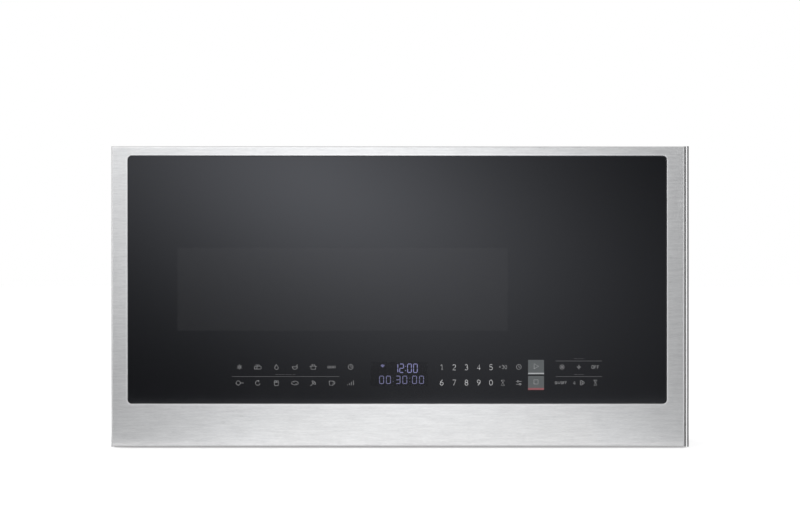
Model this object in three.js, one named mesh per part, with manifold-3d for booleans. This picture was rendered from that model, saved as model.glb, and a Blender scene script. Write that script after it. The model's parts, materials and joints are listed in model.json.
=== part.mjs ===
// An over-the-range microwave oven with a full-width glass door, built the way the real one comes apart:
// a sheet-metal case, the oven cavity with its turntable, the microwave source, the cooktop blower and
// the hinged door with its latch. Millimetres; X to the right, Y to the back, Z up. The origin is on the
// underside of the case, in the middle of the whole width and depth.
import * as THREE from 'three';
import { mergeVertices } from 'three/addons/utils/BufferGeometryUtils.js';
import Module from 'manifold-3d';

const wasm = await Module();
wasm.setup();

// ---------------------------------------------------------------- Driving dimensions

// Whole appliance
const WIDTH = 759; // left edge of the door to the outer edge of the handle trim
const DEPTH = 420; // face of the closed door to the wall
const HEIGHT = 398; // underside to top of the case
const SEAT = 0.3; // gap between two pieces that rest on each other

// Sheet-metal case
const SHEET = 1.2; // steel sheet of the case
const CASE_INSET = 1; // the case is this much narrower than the door, each side
const CASE_FLANGE = 12; // depth of the folded edges of the back and base
const CORNER_RELIEF = 12; // the base's side flanges stop this far short of the front
const COVER_SETBACK = 0.3; // the case's skins stop this far short of the back plate's face

// Door
const DOOR_THICKNESS = 46;
const DOOR_GAP = 2; // closed door to the front of the case
const DOOR_TOP_GAP = 1; // the door stops this far below the top of the case
const DOOR_BOTTOM_GAP = 2; // and this far above its underside
const DOOR_OPENING_LEFT = 22; // steel border beside the glass, at the hinge side
const DOOR_OPENING_RIGHT = 24; // steel border at the handle side
const DOOR_OPENING_TOP = 13; // steel border above the glass
const DOOR_OPENING_BOTTOM = 57; // steel border below the glass
const PANEL_SHEET = 1.2; // stainless outer panel
const PANEL_BEND = 2.5; // outer radius of its folded edges
const PANEL_RETURN = 22; // depth of its folded edges
const PANEL_HANDLE_GAP = 1; // panel's folded edge to the handle's pocket, front to back
const PANEL_CHAMFER = 0.9; // bright chamfer round the glass
const GLASS_THICKNESS = 3.2;
const GLASS_RECESS = 0.4; // glass face behind the steel face
const GLASS_CORNER = 5;
const GLASS_ARRIS = 0.4; // ground edge of the glass
const GLASS_CLEARANCE = 0.3;

// Handle: an aluminium channel that makes a finger pocket in the door's right edge
const GRIP_WIDTH = 4; // thickness of the front lip, seen from the front
const GRIP_GROOVE = 1.3; // shadow line between the steel panel and the lip
const GRIP_DEPTH = 14; // front lip, front to back
const GRIP_ROUND = 2; // rounded outer edge of the lip
const POCKET_DEPTH = 24; // how far the fingers reach in
const POCKET_OPENING = 20; // height of the pocket, front to back
const POCKET_FILLET = 4;
const POCKET_WALL = 3;
const HANDLE_CAP = 3; // thickness of the pocket's end caps

// Plastic carrier that holds the glass, the touch board and the outer panel
const CARRIER_FLOOR = 2.6; // plastic under the glass
const CARRIER_WALL = 2.5;
const CARRIER_DEPTH = 25; // door face to the back of the carrier
const CARRIER_WINDOW_MARGIN = 14; // its window opening is this much larger than the window
const CARRIER_RIB_GAP = 12; // window opening to the first upright rib
const CARRIER_RIB_PITCH = 106; // second upright rib to the handle trim
const SHELF_LAP = 8; // rib over the touch board beyond its ends

// Window
const WINDOW_WIDTH = 435;
const WINDOW_SILL = 154; // lower edge above the underside of the case
const WINDOW_HEAD = 37; // upper edge below the roof of the cavity
const SCREEN_THICKNESS = 0.8;
const SCREEN_LAP = 9; // perforated screen beyond the window's edge
const PANE_THICKNESS = 1.1; // clear inner pane

// Inner door frame with its microwave choke
const FRAME_EDGE = 0.5; // the frame is this much inside the door's side edges
const FRAME_HINGE_GAP = 0.8; // lower hinge bushing to the choke's lower wall
const FRAME_BEND = 4;
const CHOKE_OVERLAP = 2; // inner wall of the choke outside the cavity's opening
const CHOKE_WIDTH = 18;
const CHOKE_DEPTH = 12;
const CHOKE_COVER = 1.0; // thickness of the plastic ring over the choke
const CHOKE_RIB = 2; // rib of the ring, in the middle of the choke

// Hinges
const HINGE_EDGE = 8; // axis inside the inner frame's left edge
const HINGE_SETBACK = 10; // axis in front of the door's rear face
const HINGE_PIN = 3.5; // pin radius
const HINGE_PIN_LENGTH = 10;
const HINGE_PLATE = 3;
const HINGE_SPACE = 2; // door frame to hinge plate, filled by the bushing's flange
const HINGE_LEAF_WIDTH = 21;
const HINGE_LEAF_HEIGHT = 36;
const HINGE_LEAF = 2;
const HINGE_NOSE = 2; // plate beyond the pin
const BUSHING_WALL = 2.2;
const BUSHING_LIP = 1.2; // flange beyond the sleeve
const RUNNING_GAP = 0.3; // radial, between a shaft and its bore

// Touch control
const TOUCH_WIDTH = 500;
const TOUCH_HEIGHT = 56;
const TOUCH_LEFT = -228; // left end of the touch board
const TOUCH_BASE = 68; // lower edge of the touch board above the underside of the case
const BOARD_THICKNESS = 1.6;
const TOUCH_CHIP_PITCH = 60;
const DISPLAY_WIDTH = 74;
const DISPLAY_HEIGHT = 30;
const DISPLAY_DEPTH = 8;
const DISPLAY_X = -1;
const DISPLAY_Z = 95.6;

// Latch
const LATCH_INSET = 54.5; // latch inside the door's right edge
const LATCH_THICKNESS = 5;
const LATCH_BAR = 10; // bar, front to back
const LATCH_FOOT = 84; // lower end of the bar
const HOOK_LOW = 112; // underside of the lower hook's arm
const HOOK_DROP = 9; // underside of the upper hook's arm below the roof of the cavity
const HOOK_ARM = 9; // height of an arm
const HOOK_REACH = 20; // arm behind the inner frame
const HOOK_NOSE = 7; // length of the nose
const HOOK_BITE = 5; // how far the nose hangs below the arm
const LATCH_TRAVEL = 4; // how far the hooks lift
const LATCH_HEAD = 14; // bar above the upper hook
const LATCH_SLOT_CLEARANCE = 1.5;
const LATCH_LIFT_ROOM = 4.5; // slot above a lifted hook
const SPRING_RADIUS = 3;
const SPRING_WIRE = 0.7;
const SPRING_TURNS = 5;
const SPRING_LENGTH = 26;
const SPRING_TAB = 1.2;
const TAB_HALF = 7; // half width of the tab under the spring

// Latch board and its three switches
const BOARD_HALF_WIDTH = 12;
const LATCH_BOARD_DEPTH = 20;
const LATCH_BOARD_MARGIN = 22; // board beyond the hooks
const LATCH_BOARD_WALL = 3;
const SWITCH_LENGTH = 28;
const SWITCH_WIDTH = 10;
const SWITCH_DEPTH = 16;
const PLUNGER = 3;

// Oven cavity
const BAY_WIDTH = 184; // cavity to the right side of the case, for the electrical parts
const BLOWER_BAY = 97; // roof of the cavity to the top of the case, for the blower
const CAVITY_FLOOR = 46; // above the underside of the case
const CAVITY_SIDE_GAP = 33; // case side to the cavity, at the hinge side
const CAVITY_BACK_GAP = 14;
const CAVITY_SHEET = 1;
const DISH_RADIUS = 112; // stamped roller track in the floor
const DISH_DEPTH = 2;
const DISH_SLOPE = 3;

// Turntable
const TRAY_WALL_GAP = 17.65; // from its rim to the cavity's front and back
const TRAY_THICKNESS = 5;
const TRAY_RIM = 13; // height of the tray
const TRAY_RIM_WIDTH = 16;
const RING_RADIUS = 84; // middle of the roller ring's hoop
const RING_WALL = 5;
const RING_HEIGHT = 6;
const ROLLER_RADIUS = 8;
const ROLLER_WIDTH = 8;
const AXLE_RADIUS = 2.2;
const AXLE_HEAD = 3.2;
const ROLLERS = 3;
const COUPLER_RADIUS = 17;
const COUPLER_BASE = 6;
const COUPLER_LOBE = 5; // half width of a lobe
const LUG_WIDTH = 6;
const LUG_DEPTH = 5;
const SHAFT_RADIUS = 3.5;
const SHAFT_FLAT = 2.3; // flat of the D-shaped shaft, from its axis
const SHAFT_HOLE = 8;
const MOTOR_RADIUS = 24.5;
const MOTOR_HEIGHT = 17;
const MOTOR_EAR = 8;

// Waveguide and magnetron
const GUIDE_DEPTH = 20; // cavity wall to the outer wall of the guide
const GUIDE_WIDTH = 92;
const GUIDE_BOTTOM = 128;
const GUIDE_TOP_GAP = 9; // guide's upper end below the roof of the cavity
const GUIDE_Y = 10;
const FEED_HEIGHT = 46; // opening from the guide into the cavity
const FEED_WIDTH = 74;
const FEED_MARGIN = 12; // opening above the guide's lower end
const GUIDE_FLANGE = 10; // flange round the guide
const MICA = 1;
const MICA_LAP = 8;
const MAGNETRON_WIDTH = 84; // front to back
const MAGNETRON_HEIGHT = 70;
const MAGNETRON_LENGTH = 82; // away from the guide
const MAGNETRON_DROP = 42; // its axis below the guide's upper end
const YOKE_SHEET = 2;
const ANODE_RADIUS = 19;
const ANTENNA_RADIUS = 7;
const ANTENNA_LENGTH = 17;
const GASKET_LAP = 4; // gasket beyond the antenna
const LAUNCH_GAP = 2; // hole in the guide beyond the gasket
const FIN_SHEET = 0.8;
const FIN_MARGIN = 2;
const FILTER_BOX_DROP = 26; // box under the yoke
const FILTER_BOX_INSET = 10;
const FILTER_PLUG_WIDTH = 14;
const FILTER_PLUG_HEIGHT = 12;
const FILTER_PLUG_REACH = 2; // beyond the yoke
const COOLING_FINS = 4;

// Component bay
const BAY_FLOOR = 42;
const TRANSFORMER_INSET = 88.5; // its middle from the right side of the case
const TRANSFORMER_SETBACK = 90.5; // and behind the front frame
const CORE_WIDTH = 104;
const CORE_DEPTH = 58;
const CORE_HEIGHT = 86;
const CORE_LEG = 17;
const CORE_FOOT = 2; // welded foot plate
const FOOT_LAP = 6; // foot plate beyond the core
const CAPACITOR_INSET = 48.5;
const CAPACITOR_Y = 60;
const CAPACITOR_WIDTH = 52;
const CAPACITOR_DEPTH = 34;
const CAPACITOR_HEIGHT = 90;
const TAB_WIDTH = 6; // push-on terminals of capacitor and switches
const TAB_THICKNESS = 0.8;
const TAB_LENGTH = 8;
const POWER_BOARD_INSET = 120.5;
const POWER_BOARD_Z = 235;
const POWER_BOARD_WIDTH = 84;
const POWER_BOARD_HEIGHT = 210;
const STANDOFF = 5;
const POST_INSET = 6; // stand-offs inside the board's corners
const POST_RADIUS = 3;
const PART_GAP = 8; // between the parts on the board
const SMALL_CORE = 34; // low-voltage transformer, square
const SMALL_CORE_HEIGHT = 28;
const RELAY_WIDTH = 20;
const RELAY_LENGTH = 28;
const RELAY_HEIGHT = 16;
const SINK_WIDTH = 14; // heat sink
const SINK_LENGTH = 42;
const SINK_HEIGHT = 12;
const CAN_RADIUS = 7; // smoothing capacitors
const CAN_HEIGHT = 22;
const CHIP_WIDTH = 12;
const CHIP_HEIGHT = 4;
const SOCKET_WIDTH = 10; // plug sockets
const SOCKET_HEIGHT = 9;
const SOCKET_LENGTH = 24;

// Cooling fan
const FAN_OFFSET = 91.5; // its axis from the cavity's right wall
const FAN_Z = 230;
const FAN_RADIUS = 52;
const FAN_TIP_GAP = 3;
const FAN_FRAME = 124; // square frame
const FAN_FRAME_DEPTH = 22;
const FAN_WALL = 2.2;
const FAN_HUB = 15;
const FAN_HUB_LENGTH = 16;
const FAN_BLADES = 5;
const FAN_BLADE = 1.4; // thickness
const FAN_ROOT_CHORD = 22;
const FAN_TIP_CHORD = 40;
const FAN_ROOT_PITCH = 48; // degrees
const FAN_TIP_PITCH = 24; // degrees
const FAN_BACK_SPACE = 62; // back of the frame to the back plate
const FAN_LEG = 8; // section of the legs and cross-bars
const FAN_BAR = 4; // depth of the cross-bars
const FAN_SHAFT = 3;
const FAN_MOTOR_SIZE = 48;
const FAN_MOTOR_DEPTH = 22;
const FAN_MOTOR_FOOT = 4; // motor behind the cross-bars
const FAN_MOTOR_COIL = 13; // radius of its coil
const FAN_MOTOR_GAP = 12; // half height of the gap in its core
const FAN_BRIDGE = 8; // bearing bridge behind the core

// Cooktop blower
const WHEEL_RADIUS = 34;
const WHEEL_LENGTH = 86;
const WHEEL_BLADES = 16;
const BLADE_CHORD = 7;
const BLADE_THICKNESS = 0.9;
const BLADE_LEAN = 4.4; // how far a blade's tip runs ahead of its root
const WHEEL_RING = 3;
const SCROLL_CLEARANCE = 4; // wheel to the tongue of the scroll
const SCROLL_SHEET = 1;
const SCROLL_START_ANGLE = -25; // degrees
const SCROLL_END_ANGLE = 270; // degrees
const SCROLL_OUTLET = 62; // throat ahead of the axis
const SCROLL_SIDE_GAP = 4; // wheel to the scroll's side walls
const BLOWER_MOTOR_RADIUS = 29;
const BLOWER_MOTOR_LENGTH = 72;
const BLOWER_MOTOR_GAP = 14; // motor to each scroll
const BLOWER_SHAFT = 4;
const SHAFT_MARGIN = 3; // hole in the casing beyond the shaft
const BLOWER_HUB = 10; // radius of a wheel's hub
const BLOWER_HUB_LENGTH = 14;
const WHEEL_DISC = 1.5;
const BLOWER_NECK = 18; // radius of the motor's end bells
const BLOWER_BELL = 6; // their length

// Top vent grille and charcoal filter
const GRILLE_WIDTH = 620;
const GRILLE_LENGTH = 50; // front to back
const GRILLE_SETBACK = 12; // behind the front frame
const GRILLE_HEIGHT = 12;
const GRILLE_BORDER = 5;
const GRILLE_LIP = 4;
const LOUVRES = 4;
const LOUVRE_THICKNESS = 1.8;
const LOUVRE_LEAN = 3;
const GRILLE_BAYS = 5;
const GRILLE_RIB = 2.5;
const CHARCOAL_WIDTH = 300;
const CHARCOAL_HEIGHT = 12;
const CHARCOAL_CELLS = 9;

// Openings in the top and the base
const EXHAUST_WIDTH = 256; // duct opening above the blower
const EXHAUST_LENGTH = 83;
const BOLT_SPREAD = 560; // the two bolts from the cabinet above
const BOLT_HOLE = 4;
const BOLT_Y = 40;
const FILTER_WIDTH = 280;
const FILTER_LENGTH = 150;
const FILTER_X = 186;
const FILTER_BACK_GAP = 63; // filter to the wall
const FILTER_THICKNESS = 8;
const FILTER_BORDER = 9;
const FILTER_LEDGE = 6; // base sheet under the filter's edge
const FILTER_PLEATS = 14;
const LAMP_WIDTH = 92;
const LAMP_LENGTH = 44;
const LAMP_X = 150;
const LAMP_SETBACK = 64.5; // behind the front frame
const LAMP_THICKNESS = 5;
const LAMP_LEDGE = 4;
const INTAKE_SLOTS = 7;
const INTAKE_SLOT_WIDTH = 4;
const INTAKE_SLOT_LENGTH = 26;
const INTAKE_PITCH = 10;
const HOOK_SLOT_WIDTH = 46; // slots that hang on the wall bracket's tongues
const HOOK_SLOT_HEIGHT = 9;
const HOOK_SLOT_X = 250;
const HOOK_SLOT_Z = 34;
const BACK_RIBS = 2;
const BACK_RIB_DEPTH = 1.5;
const BACK_RIB_HEIGHT = 14;
const BACK_RIB_MARGIN = 166; // end of a rib inside the plate's edge, clear of the fan's feet
const CORD_HOLE = 13;
const CORD_INSET = 78.5;
const CORD_DROP = 48; // below the top of the case
const CORD_BORE = 5;
const CORD_BUSHING_LENGTH = 7;
const CORD_FLANGE = 3; // flange beyond the hole
const CORD_FLANGE_DEPTH = 2;

// Cavity lamp
const LAMP_HOLE = 2;
const LAMP_HOLE_PITCH = 8;
const CAVITY_LAMP_Y = 110;
const CAVITY_LAMP_DROP = 51; // below the roof of the cavity
const LAMP_BOX_DEPTH = 18;
const LAMP_BOX_WALL = 2;
const LAMP_BOX_MARGIN = 4; // box beyond the holes
const LAMP_BULB = 5; // radius of the bulb
const LAMP_COLUMNS = 3;
const LAMP_ROWS = 3;
const VENT_COLUMNS = 4;
const VENT_ROWS = 2;
const VENT_Y = -100;
const VENT_DROP = 71; // below the roof of the cavity

// ---------------------------------------------------------------- Places worked out from them

const doorLeft = -WIDTH / 2;
const doorRight = WIDTH / 2;
const doorHeight = HEIGHT - DOOR_TOP_GAP - DOOR_BOTTOM_GAP;
const doorFace = -DEPTH / 2;
const caseHalf = WIDTH / 2 - CASE_INSET;
const caseFront = doorFace + DOOR_THICKNESS + DOOR_GAP;
const caseBack = DEPTH / 2;
const skinFront = caseFront + SHEET + SEAT;
const skinBack = caseBack - COVER_SETBACK;
const innerHalf = caseHalf - SHEET - SEAT; // what fits between the case's side walls

const cavityLeft = -caseHalf + CAVITY_SIDE_GAP;
const cavityRight = caseHalf - BAY_WIDTH;
const cavityX = (cavityLeft + cavityRight) / 2;
const cavityBack = caseBack - SHEET - CAVITY_BACK_GAP;
const cavityY = (skinFront + cavityBack) / 2;
const trayRadius = (cavityBack - skinFront) / 2 - TRAY_WALL_GAP;
const cavityTop = HEIGHT - BLOWER_BAY;
const dishFloor = CAVITY_FLOOR - DISH_DEPTH;

const windowLeft = cavityX - WINDOW_WIDTH / 2;
const windowRight = cavityX + WINDOW_WIDTH / 2;
const windowHeight = cavityTop - WINDOW_HEAD - WINDOW_SILL;
const hookHigh = cavityTop - HOOK_DROP;
const latchX = doorRight - LATCH_INSET;

const guideTop = cavityTop - GUIDE_TOP_GAP;
const magnetronZ = guideTop - MAGNETRON_DROP;
const cavityLampZ = cavityTop - CAVITY_LAMP_DROP;
const ventZ = cavityTop - VENT_DROP;
const transformerX = caseHalf - TRANSFORMER_INSET;
const transformerY = skinFront + TRANSFORMER_SETBACK;
const capacitorX = caseHalf - CAPACITOR_INSET;
const powerBoardX = caseHalf - POWER_BOARD_INSET;
const fanX = cavityRight + FAN_OFFSET;
const cordX = caseHalf - CORD_INSET;
const cordZ = HEIGHT - CORD_DROP;
const lampY = skinFront + LAMP_SETBACK;
const filterY = caseBack - FILTER_BACK_GAP - FILTER_LENGTH / 2;

// Inside the door, depths are measured back from its face and heights up from its lower edge.
const frameFront = CARRIER_DEPTH + SEAT;
const frameBack = DOOR_THICKNESS - 1;
// The frame ends where the choke, the hinge pin and its bushing leave room below the cavity.
const chokeLow = CAVITY_FLOOR - DOOR_BOTTOM_GAP - CHOKE_OVERLAP - CHOKE_WIDTH - SHEET;
const frameMargin = chokeLow - FRAME_HINGE_GAP - HINGE_PIN_LENGTH + HINGE_SPACE;
const frameLeft = doorLeft + FRAME_EDGE;
const frameRight = doorRight - FRAME_EDGE;
const frameTop = doorHeight - frameMargin;
const glassBack = GLASS_RECESS + GLASS_THICKNESS;
const panelRight = doorRight - GRIP_WIDTH - GRIP_GROOVE;
const panelHandleReturn = GRIP_DEPTH - POCKET_WALL - PANEL_HANDLE_GAP;
const pocketInner = doorRight - POCKET_DEPTH;
const pocketBack = GRIP_DEPTH + POCKET_OPENING;
const trimLeft = pocketInner - POCKET_WALL;
const trimBack = pocketBack + POCKET_WALL;
const hingeX = frameLeft + HINGE_EDGE;
const hingeDepth = DOOR_THICKNESS - HINGE_SETBACK;
const hingeY = doorFace + hingeDepth;
const inDoor = (z) => z - DOOR_BOTTOM_GAP;
const latchBack = frameBack - SHEET - SEAT;

// ---------------------------------------------------------------- Materials

const finish = (color, roughness, metalness, extra = {}) =>
  new THREE.MeshStandardMaterial({ color, roughness, metalness, ...extra });

const stainless = finish(0xc9cacb, 0.32, 1);
const darkGlass = finish(0x1b1c1f, 0.08, 0);
const handleAluminium = finish(0xd9dadc, 0.28, 1);
const blackPlastic = finish(0x1d1d1f, 0.55, 0);
const blackPaint = finish(0x26272a, 0.5, 0.2);
const zincSteel = finish(0x9a9d9f, 0.42, 0.9);
const enamel = finish(0xb4b2ab, 0.4, 0.1);
const turntableGlass = finish(0xcfe0dd, 0.05, 0, { transparent: true, opacity: 0.4 });
const clearPane = finish(0x2a2c30, 0.1, 0, { transparent: true, opacity: 0.5 });
const frostedLens = finish(0xe8e8e2, 0.35, 0, { transparent: true, opacity: 0.8 });
const mica = finish(0xa79a83, 0.6, 0);
const copper = finish(0x8a4b2a, 0.4, 0.8);
const laminations = finish(0x55585c, 0.5, 0.8);
const aluminium = finish(0xb9bcbe, 0.4, 0.95);
const circuitBoard = finish(0x2c5a3a, 0.5, 0);
const whitePlastic = finish(0xd8d6cf, 0.5, 0);
const charcoal = finish(0x1a1a1a, 0.95, 0);
const springSteel = finish(0xa7a9ab, 0.3, 1);

// ---------------------------------------------------------------- Solid-making helpers

// A closed three.js geometry as a solid that can be joined and cut.
function solid(geometry) {
  const bare = geometry.clone();
  bare.deleteAttribute('normal');
  bare.deleteAttribute('uv');
  const merged = mergeVertices(bare, 1e-4);
  return new wasm.Manifold(new wasm.Mesh({
    numProp: 3,
    vertProperties: new Float32Array(merged.attributes.position.array),
    triVerts: new Uint32Array(merged.index.array),
  }));
}

const join = (...solids) => solids.reduce((sum, next) => sum.add(next));
const cut = (body, ...tools) => tools.reduce((rest, tool) => rest.subtract(tool), body);

// A rectangular block between two limits on each axis.
function block(x0, x1, y0, y1, z0, z1) {
  const geometry = new THREE.BoxGeometry(x1 - x0, y1 - y0, z1 - z0);
  return solid(geometry.translate((x0 + x1) / 2, (y0 + y1) / 2, (z0 + z1) / 2));
}

// A block that stands on z0, centred on (x, y).
function slab(x, y, width, length, z0, z1) {
  return block(x - width / 2, x + width / 2, y - length / 2, y + length / 2, z0, z1);
}

// The outline drawn in (x, y), pulled up from z0 to z1.
function pullZ(shape, z0, z1, curveSegments = 6) {
  const geometry = new THREE.ExtrudeGeometry(shape, { depth: z1 - z0, bevelEnabled: false, curveSegments });
  return solid(geometry.translate(0, 0, z0));
}

// The outline drawn in (x, z), pulled back from y0 to y1. A bevel rounds or slants both faces.
function pullY(shape, y0, y1, { bevel = 0, steps = 1, curveSegments = 4 } = {}) {
  const geometry = new THREE.ExtrudeGeometry(shape, {
    depth: y1 - y0 - 2 * bevel,
    bevelEnabled: bevel > 0,
    bevelThickness: bevel,
    bevelSize: bevel,
    bevelOffset: -bevel,
    bevelSegments: steps,
    curveSegments,
  });
  geometry.translate(0, 0, bevel);
  const basis = new THREE.Matrix4().makeBasis(
    new THREE.Vector3(1, 0, 0), new THREE.Vector3(0, 0, 1), new THREE.Vector3(0, -1, 0));
  return solid(geometry.applyMatrix4(basis).translate(0, y1, 0));
}

// The outline drawn in (y, z), pulled to the right from x0 to x1.
function pullX(shape, x0, x1, curveSegments = 6) {
  const geometry = new THREE.ExtrudeGeometry(shape, { depth: x1 - x0, bevelEnabled: false, curveSegments });
  const basis = new THREE.Matrix4().makeBasis(
    new THREE.Vector3(0, 1, 0), new THREE.Vector3(0, 0, 1), new THREE.Vector3(1, 0, 0));
  return solid(geometry.applyMatrix4(basis).translate(x0, 0, 0));
}

// A round bar along one axis, from a to b, centred at (u, v) on the other two axes in X, Y, Z order.
function bar(axis, radius, a, b, u, v, sides = 16) {
  const geometry = new THREE.CylinderGeometry(radius, radius, b - a, sides);
  const middle = (a + b) / 2;
  if (axis === 'x') return solid(geometry.rotateZ(Math.PI / 2).translate(middle, u, v));
  if (axis === 'y') return solid(geometry.translate(u, middle, v));
  return solid(geometry.rotateX(Math.PI / 2).translate(u, v, middle));
}

// A profile of [radius, height] points turned round the Z axis.
function turned(profile, sides = 28) {
  const points = profile.map(([r, h]) => new THREE.Vector2(r, h));
  points.push(points[0].clone());
  return solid(new THREE.LatheGeometry(points, sides).rotateX(Math.PI / 2));
}

function outline(points) {
  return new THREE.Shape(points.map(([u, v]) => new THREE.Vector2(u, v)));
}

function rectangle(u0, u1, v0, v1, radius = 0) {
  if (radius <= 0) return outline([[u0, v0], [u1, v0], [u1, v1], [u0, v1]]);
  const shape = new THREE.Shape();
  shape.moveTo(u0 + radius, v0);
  shape.lineTo(u1 - radius, v0);
  shape.absarc(u1 - radius, v0 + radius, radius, -Math.PI / 2, 0);
  shape.lineTo(u1, v1 - radius);
  shape.absarc(u1 - radius, v1 - radius, radius, 0, Math.PI / 2);
  shape.lineTo(u0 + radius, v1);
  shape.absarc(u0 + radius, v1 - radius, radius, Math.PI / 2, Math.PI);
  shape.lineTo(u0, v0 + radius);
  shape.absarc(u0 + radius, v0 + radius, radius, Math.PI, 1.5 * Math.PI);
  return shape;
}

// A folded sheet pan seen from the front: a rectangle in (x, z) with its edges rounded at one face.
function pan(x0, x1, z0, z1, faceY, rimY, bend) {
  const shape = rectangle(x0, x1, z0, z1);
  const away = Math.sign(rimY - faceY);
  const far = rimY + away * (2 * bend + 1);
  const whole = pullY(shape, Math.min(faceY, far), Math.max(faceY, far), { bevel: bend, steps: 3 });
  const limit = block(x0 - 1, x1 + 1, Math.min(faceY, rimY), Math.max(faceY, rimY), z0 - 1, z1 + 1);
  return whole.intersect(limit);
}

// The finished solid as a named mesh.
function piece(name, shape, material) {
  const { vertProperties, triVerts, numProp } = shape.getMesh();
  const geometry = new THREE.BufferGeometry();
  const positions = new Float32Array((vertProperties.length / numProp) * 3);
  for (let i = 0; i < positions.length / 3; i += 1) {
    for (let k = 0; k < 3; k += 1) positions[3 * i + k] = vertProperties[numProp * i + k];
  }
  geometry.setAttribute('position', new THREE.BufferAttribute(positions, 3));
  geometry.setIndex(new THREE.BufferAttribute(new Uint32Array(triVerts), 1));
  geometry.computeVertexNormals();
  const mesh = new THREE.Mesh(geometry, material);
  mesh.name = name;
  return mesh;
}

// ---------------------------------------------------------------- Case

// Top and both sides in one folded sheet, with the grille, duct and bolt openings in the top.
function outerCover() {
  const skin = block(-caseHalf, caseHalf, skinFront, skinBack, SHEET + SEAT, HEIGHT);
  const hollow = block(-caseHalf + SHEET, caseHalf - SHEET, skinFront - 1, skinBack + 1, 0, HEIGHT - SHEET);
  const grille = block(-GRILLE_WIDTH / 2, GRILLE_WIDTH / 2, grilleFront, grilleFront + GRILLE_LENGTH,
    cavityTop, HEIGHT + 1);
  const exhaust = block(-EXHAUST_WIDTH / 2, EXHAUST_WIDTH / 2, blowerY - EXHAUST_LENGTH / 2,
    Math.min(blowerY + EXHAUST_LENGTH / 2, skinBack - CASE_FLANGE), cavityTop, HEIGHT + 1);
  const bolts = [-1, 1].map((side) =>
    bar('z', BOLT_HOLE, HEIGHT - 2 * SHEET, HEIGHT + 1, side * BOLT_SPREAD / 2, BOLT_Y, 12));
  return cut(skin, hollow, grille, exhaust, ...bolts);
}

// Pressed back plate with stiffening ribs, slots for the wall bracket and the cord's hole.
function backPlate() {
  const low = SHEET + SEAT;
  const high = HEIGHT - SHEET - SEAT;
  const plate = block(-innerHalf, innerHalf, caseBack - CASE_FLANGE, caseBack, low, high);
  const hollow = block(-innerHalf + SHEET, innerHalf - SHEET, caseBack - CASE_FLANGE - 1, caseBack - SHEET,
    low + SHEET, high - SHEET);
  let shape = cut(plate, hollow);
  const ribLength = 2 * (innerHalf - BACK_RIB_MARGIN);
  for (let i = 0; i < BACK_RIBS; i += 1) {
    const z = HOOK_SLOT_Z + (i + 1) * (cordZ - HOOK_SLOT_Z) / (BACK_RIBS + 1);
    const swell = rectangle(-ribLength / 2, ribLength / 2, z - BACK_RIB_HEIGHT / 2, z + BACK_RIB_HEIGHT / 2,
      BACK_RIB_HEIGHT / 2 - 0.5);
    const inner = rectangle(-ribLength / 2 - SHEET, ribLength / 2 + SHEET, z - BACK_RIB_HEIGHT / 2 - SHEET,
      z + BACK_RIB_HEIGHT / 2 + SHEET, BACK_RIB_HEIGHT / 2);
    const ribBack = caseBack - BACK_RIB_DEPTH;
    shape = join(shape, pullY(inner, ribBack - SHEET, caseBack - SHEET, { curveSegments: 3 }));
    shape = cut(shape, pullY(swell, ribBack, caseBack + 1, { curveSegments: 3 }));
  }
  for (const side of [-1, 1]) {
    const x = side * HOOK_SLOT_X;
    shape = cut(shape, block(x - HOOK_SLOT_WIDTH / 2, x + HOOK_SLOT_WIDTH / 2, caseBack - 2 * SHEET,
      caseBack + 1, HOOK_SLOT_Z - HOOK_SLOT_HEIGHT / 2, HOOK_SLOT_Z + HOOK_SLOT_HEIGHT / 2));
  }
  return cut(shape, bar('y', CORD_HOLE, caseBack - 2 * SHEET, caseBack + 1, cordX, cordZ));
}

// Base pan with ledges for the grease filters and the lamp lenses, and air slots under the bay.
function basePlate() {
  const sheet = block(-caseHalf, caseHalf, skinFront, skinBack, 0, SHEET);
  const flanges = [-1, 1].map((side) => {
    const outer = side * innerHalf;
    const inner = outer - side * SHEET;
    return block(Math.min(outer, inner), Math.max(outer, inner), skinFront + CORNER_RELIEF,
      caseBack - CASE_FLANGE - CORNER_RELIEF, 0, CASE_FLANGE);
  });
  const openings = [];
  for (const side of [-1, 1]) {
    openings.push(opening(side * FILTER_X, filterY, FILTER_WIDTH - 2 * FILTER_LEDGE,
      FILTER_LENGTH - 2 * FILTER_LEDGE));
    openings.push(opening(side * LAMP_X, lampY, LAMP_WIDTH - 2 * LAMP_LEDGE, LAMP_LENGTH - 2 * LAMP_LEDGE));
  }
  for (let i = 0; i < INTAKE_SLOTS; i += 1) {
    const x = transformerX + (i - (INTAKE_SLOTS - 1) / 2) * INTAKE_PITCH;
    openings.push(opening(x, lampY, INTAKE_SLOT_WIDTH, INTAKE_SLOT_LENGTH));
  }
  return cut(join(sheet, ...flanges), ...openings);
}

// A rectangular hole through the base sheet.
function opening(x, y, width, length) {
  return slab(x, y, width, length, -1, SHEET + 1);
}

// Plate that carries the electrical parts above the air intake, with an upturned edge each side.
function bayFloor() {
  const left = cavityRight + CAVITY_SHEET + SEAT;
  const rear = caseBack - CASE_FLANGE - SEAT;
  const floor = block(left, innerHalf, skinFront, rear, BAY_FLOOR, BAY_FLOOR + SHEET);
  const edges = [
    block(left, left + SHEET, skinFront, rear, BAY_FLOOR, BAY_FLOOR + CASE_FLANGE),
    block(innerHalf - SHEET, innerHalf, skinFront, rear, BAY_FLOOR, BAY_FLOOR + CASE_FLANGE),
  ];
  return join(floor, ...edges);
}

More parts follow.
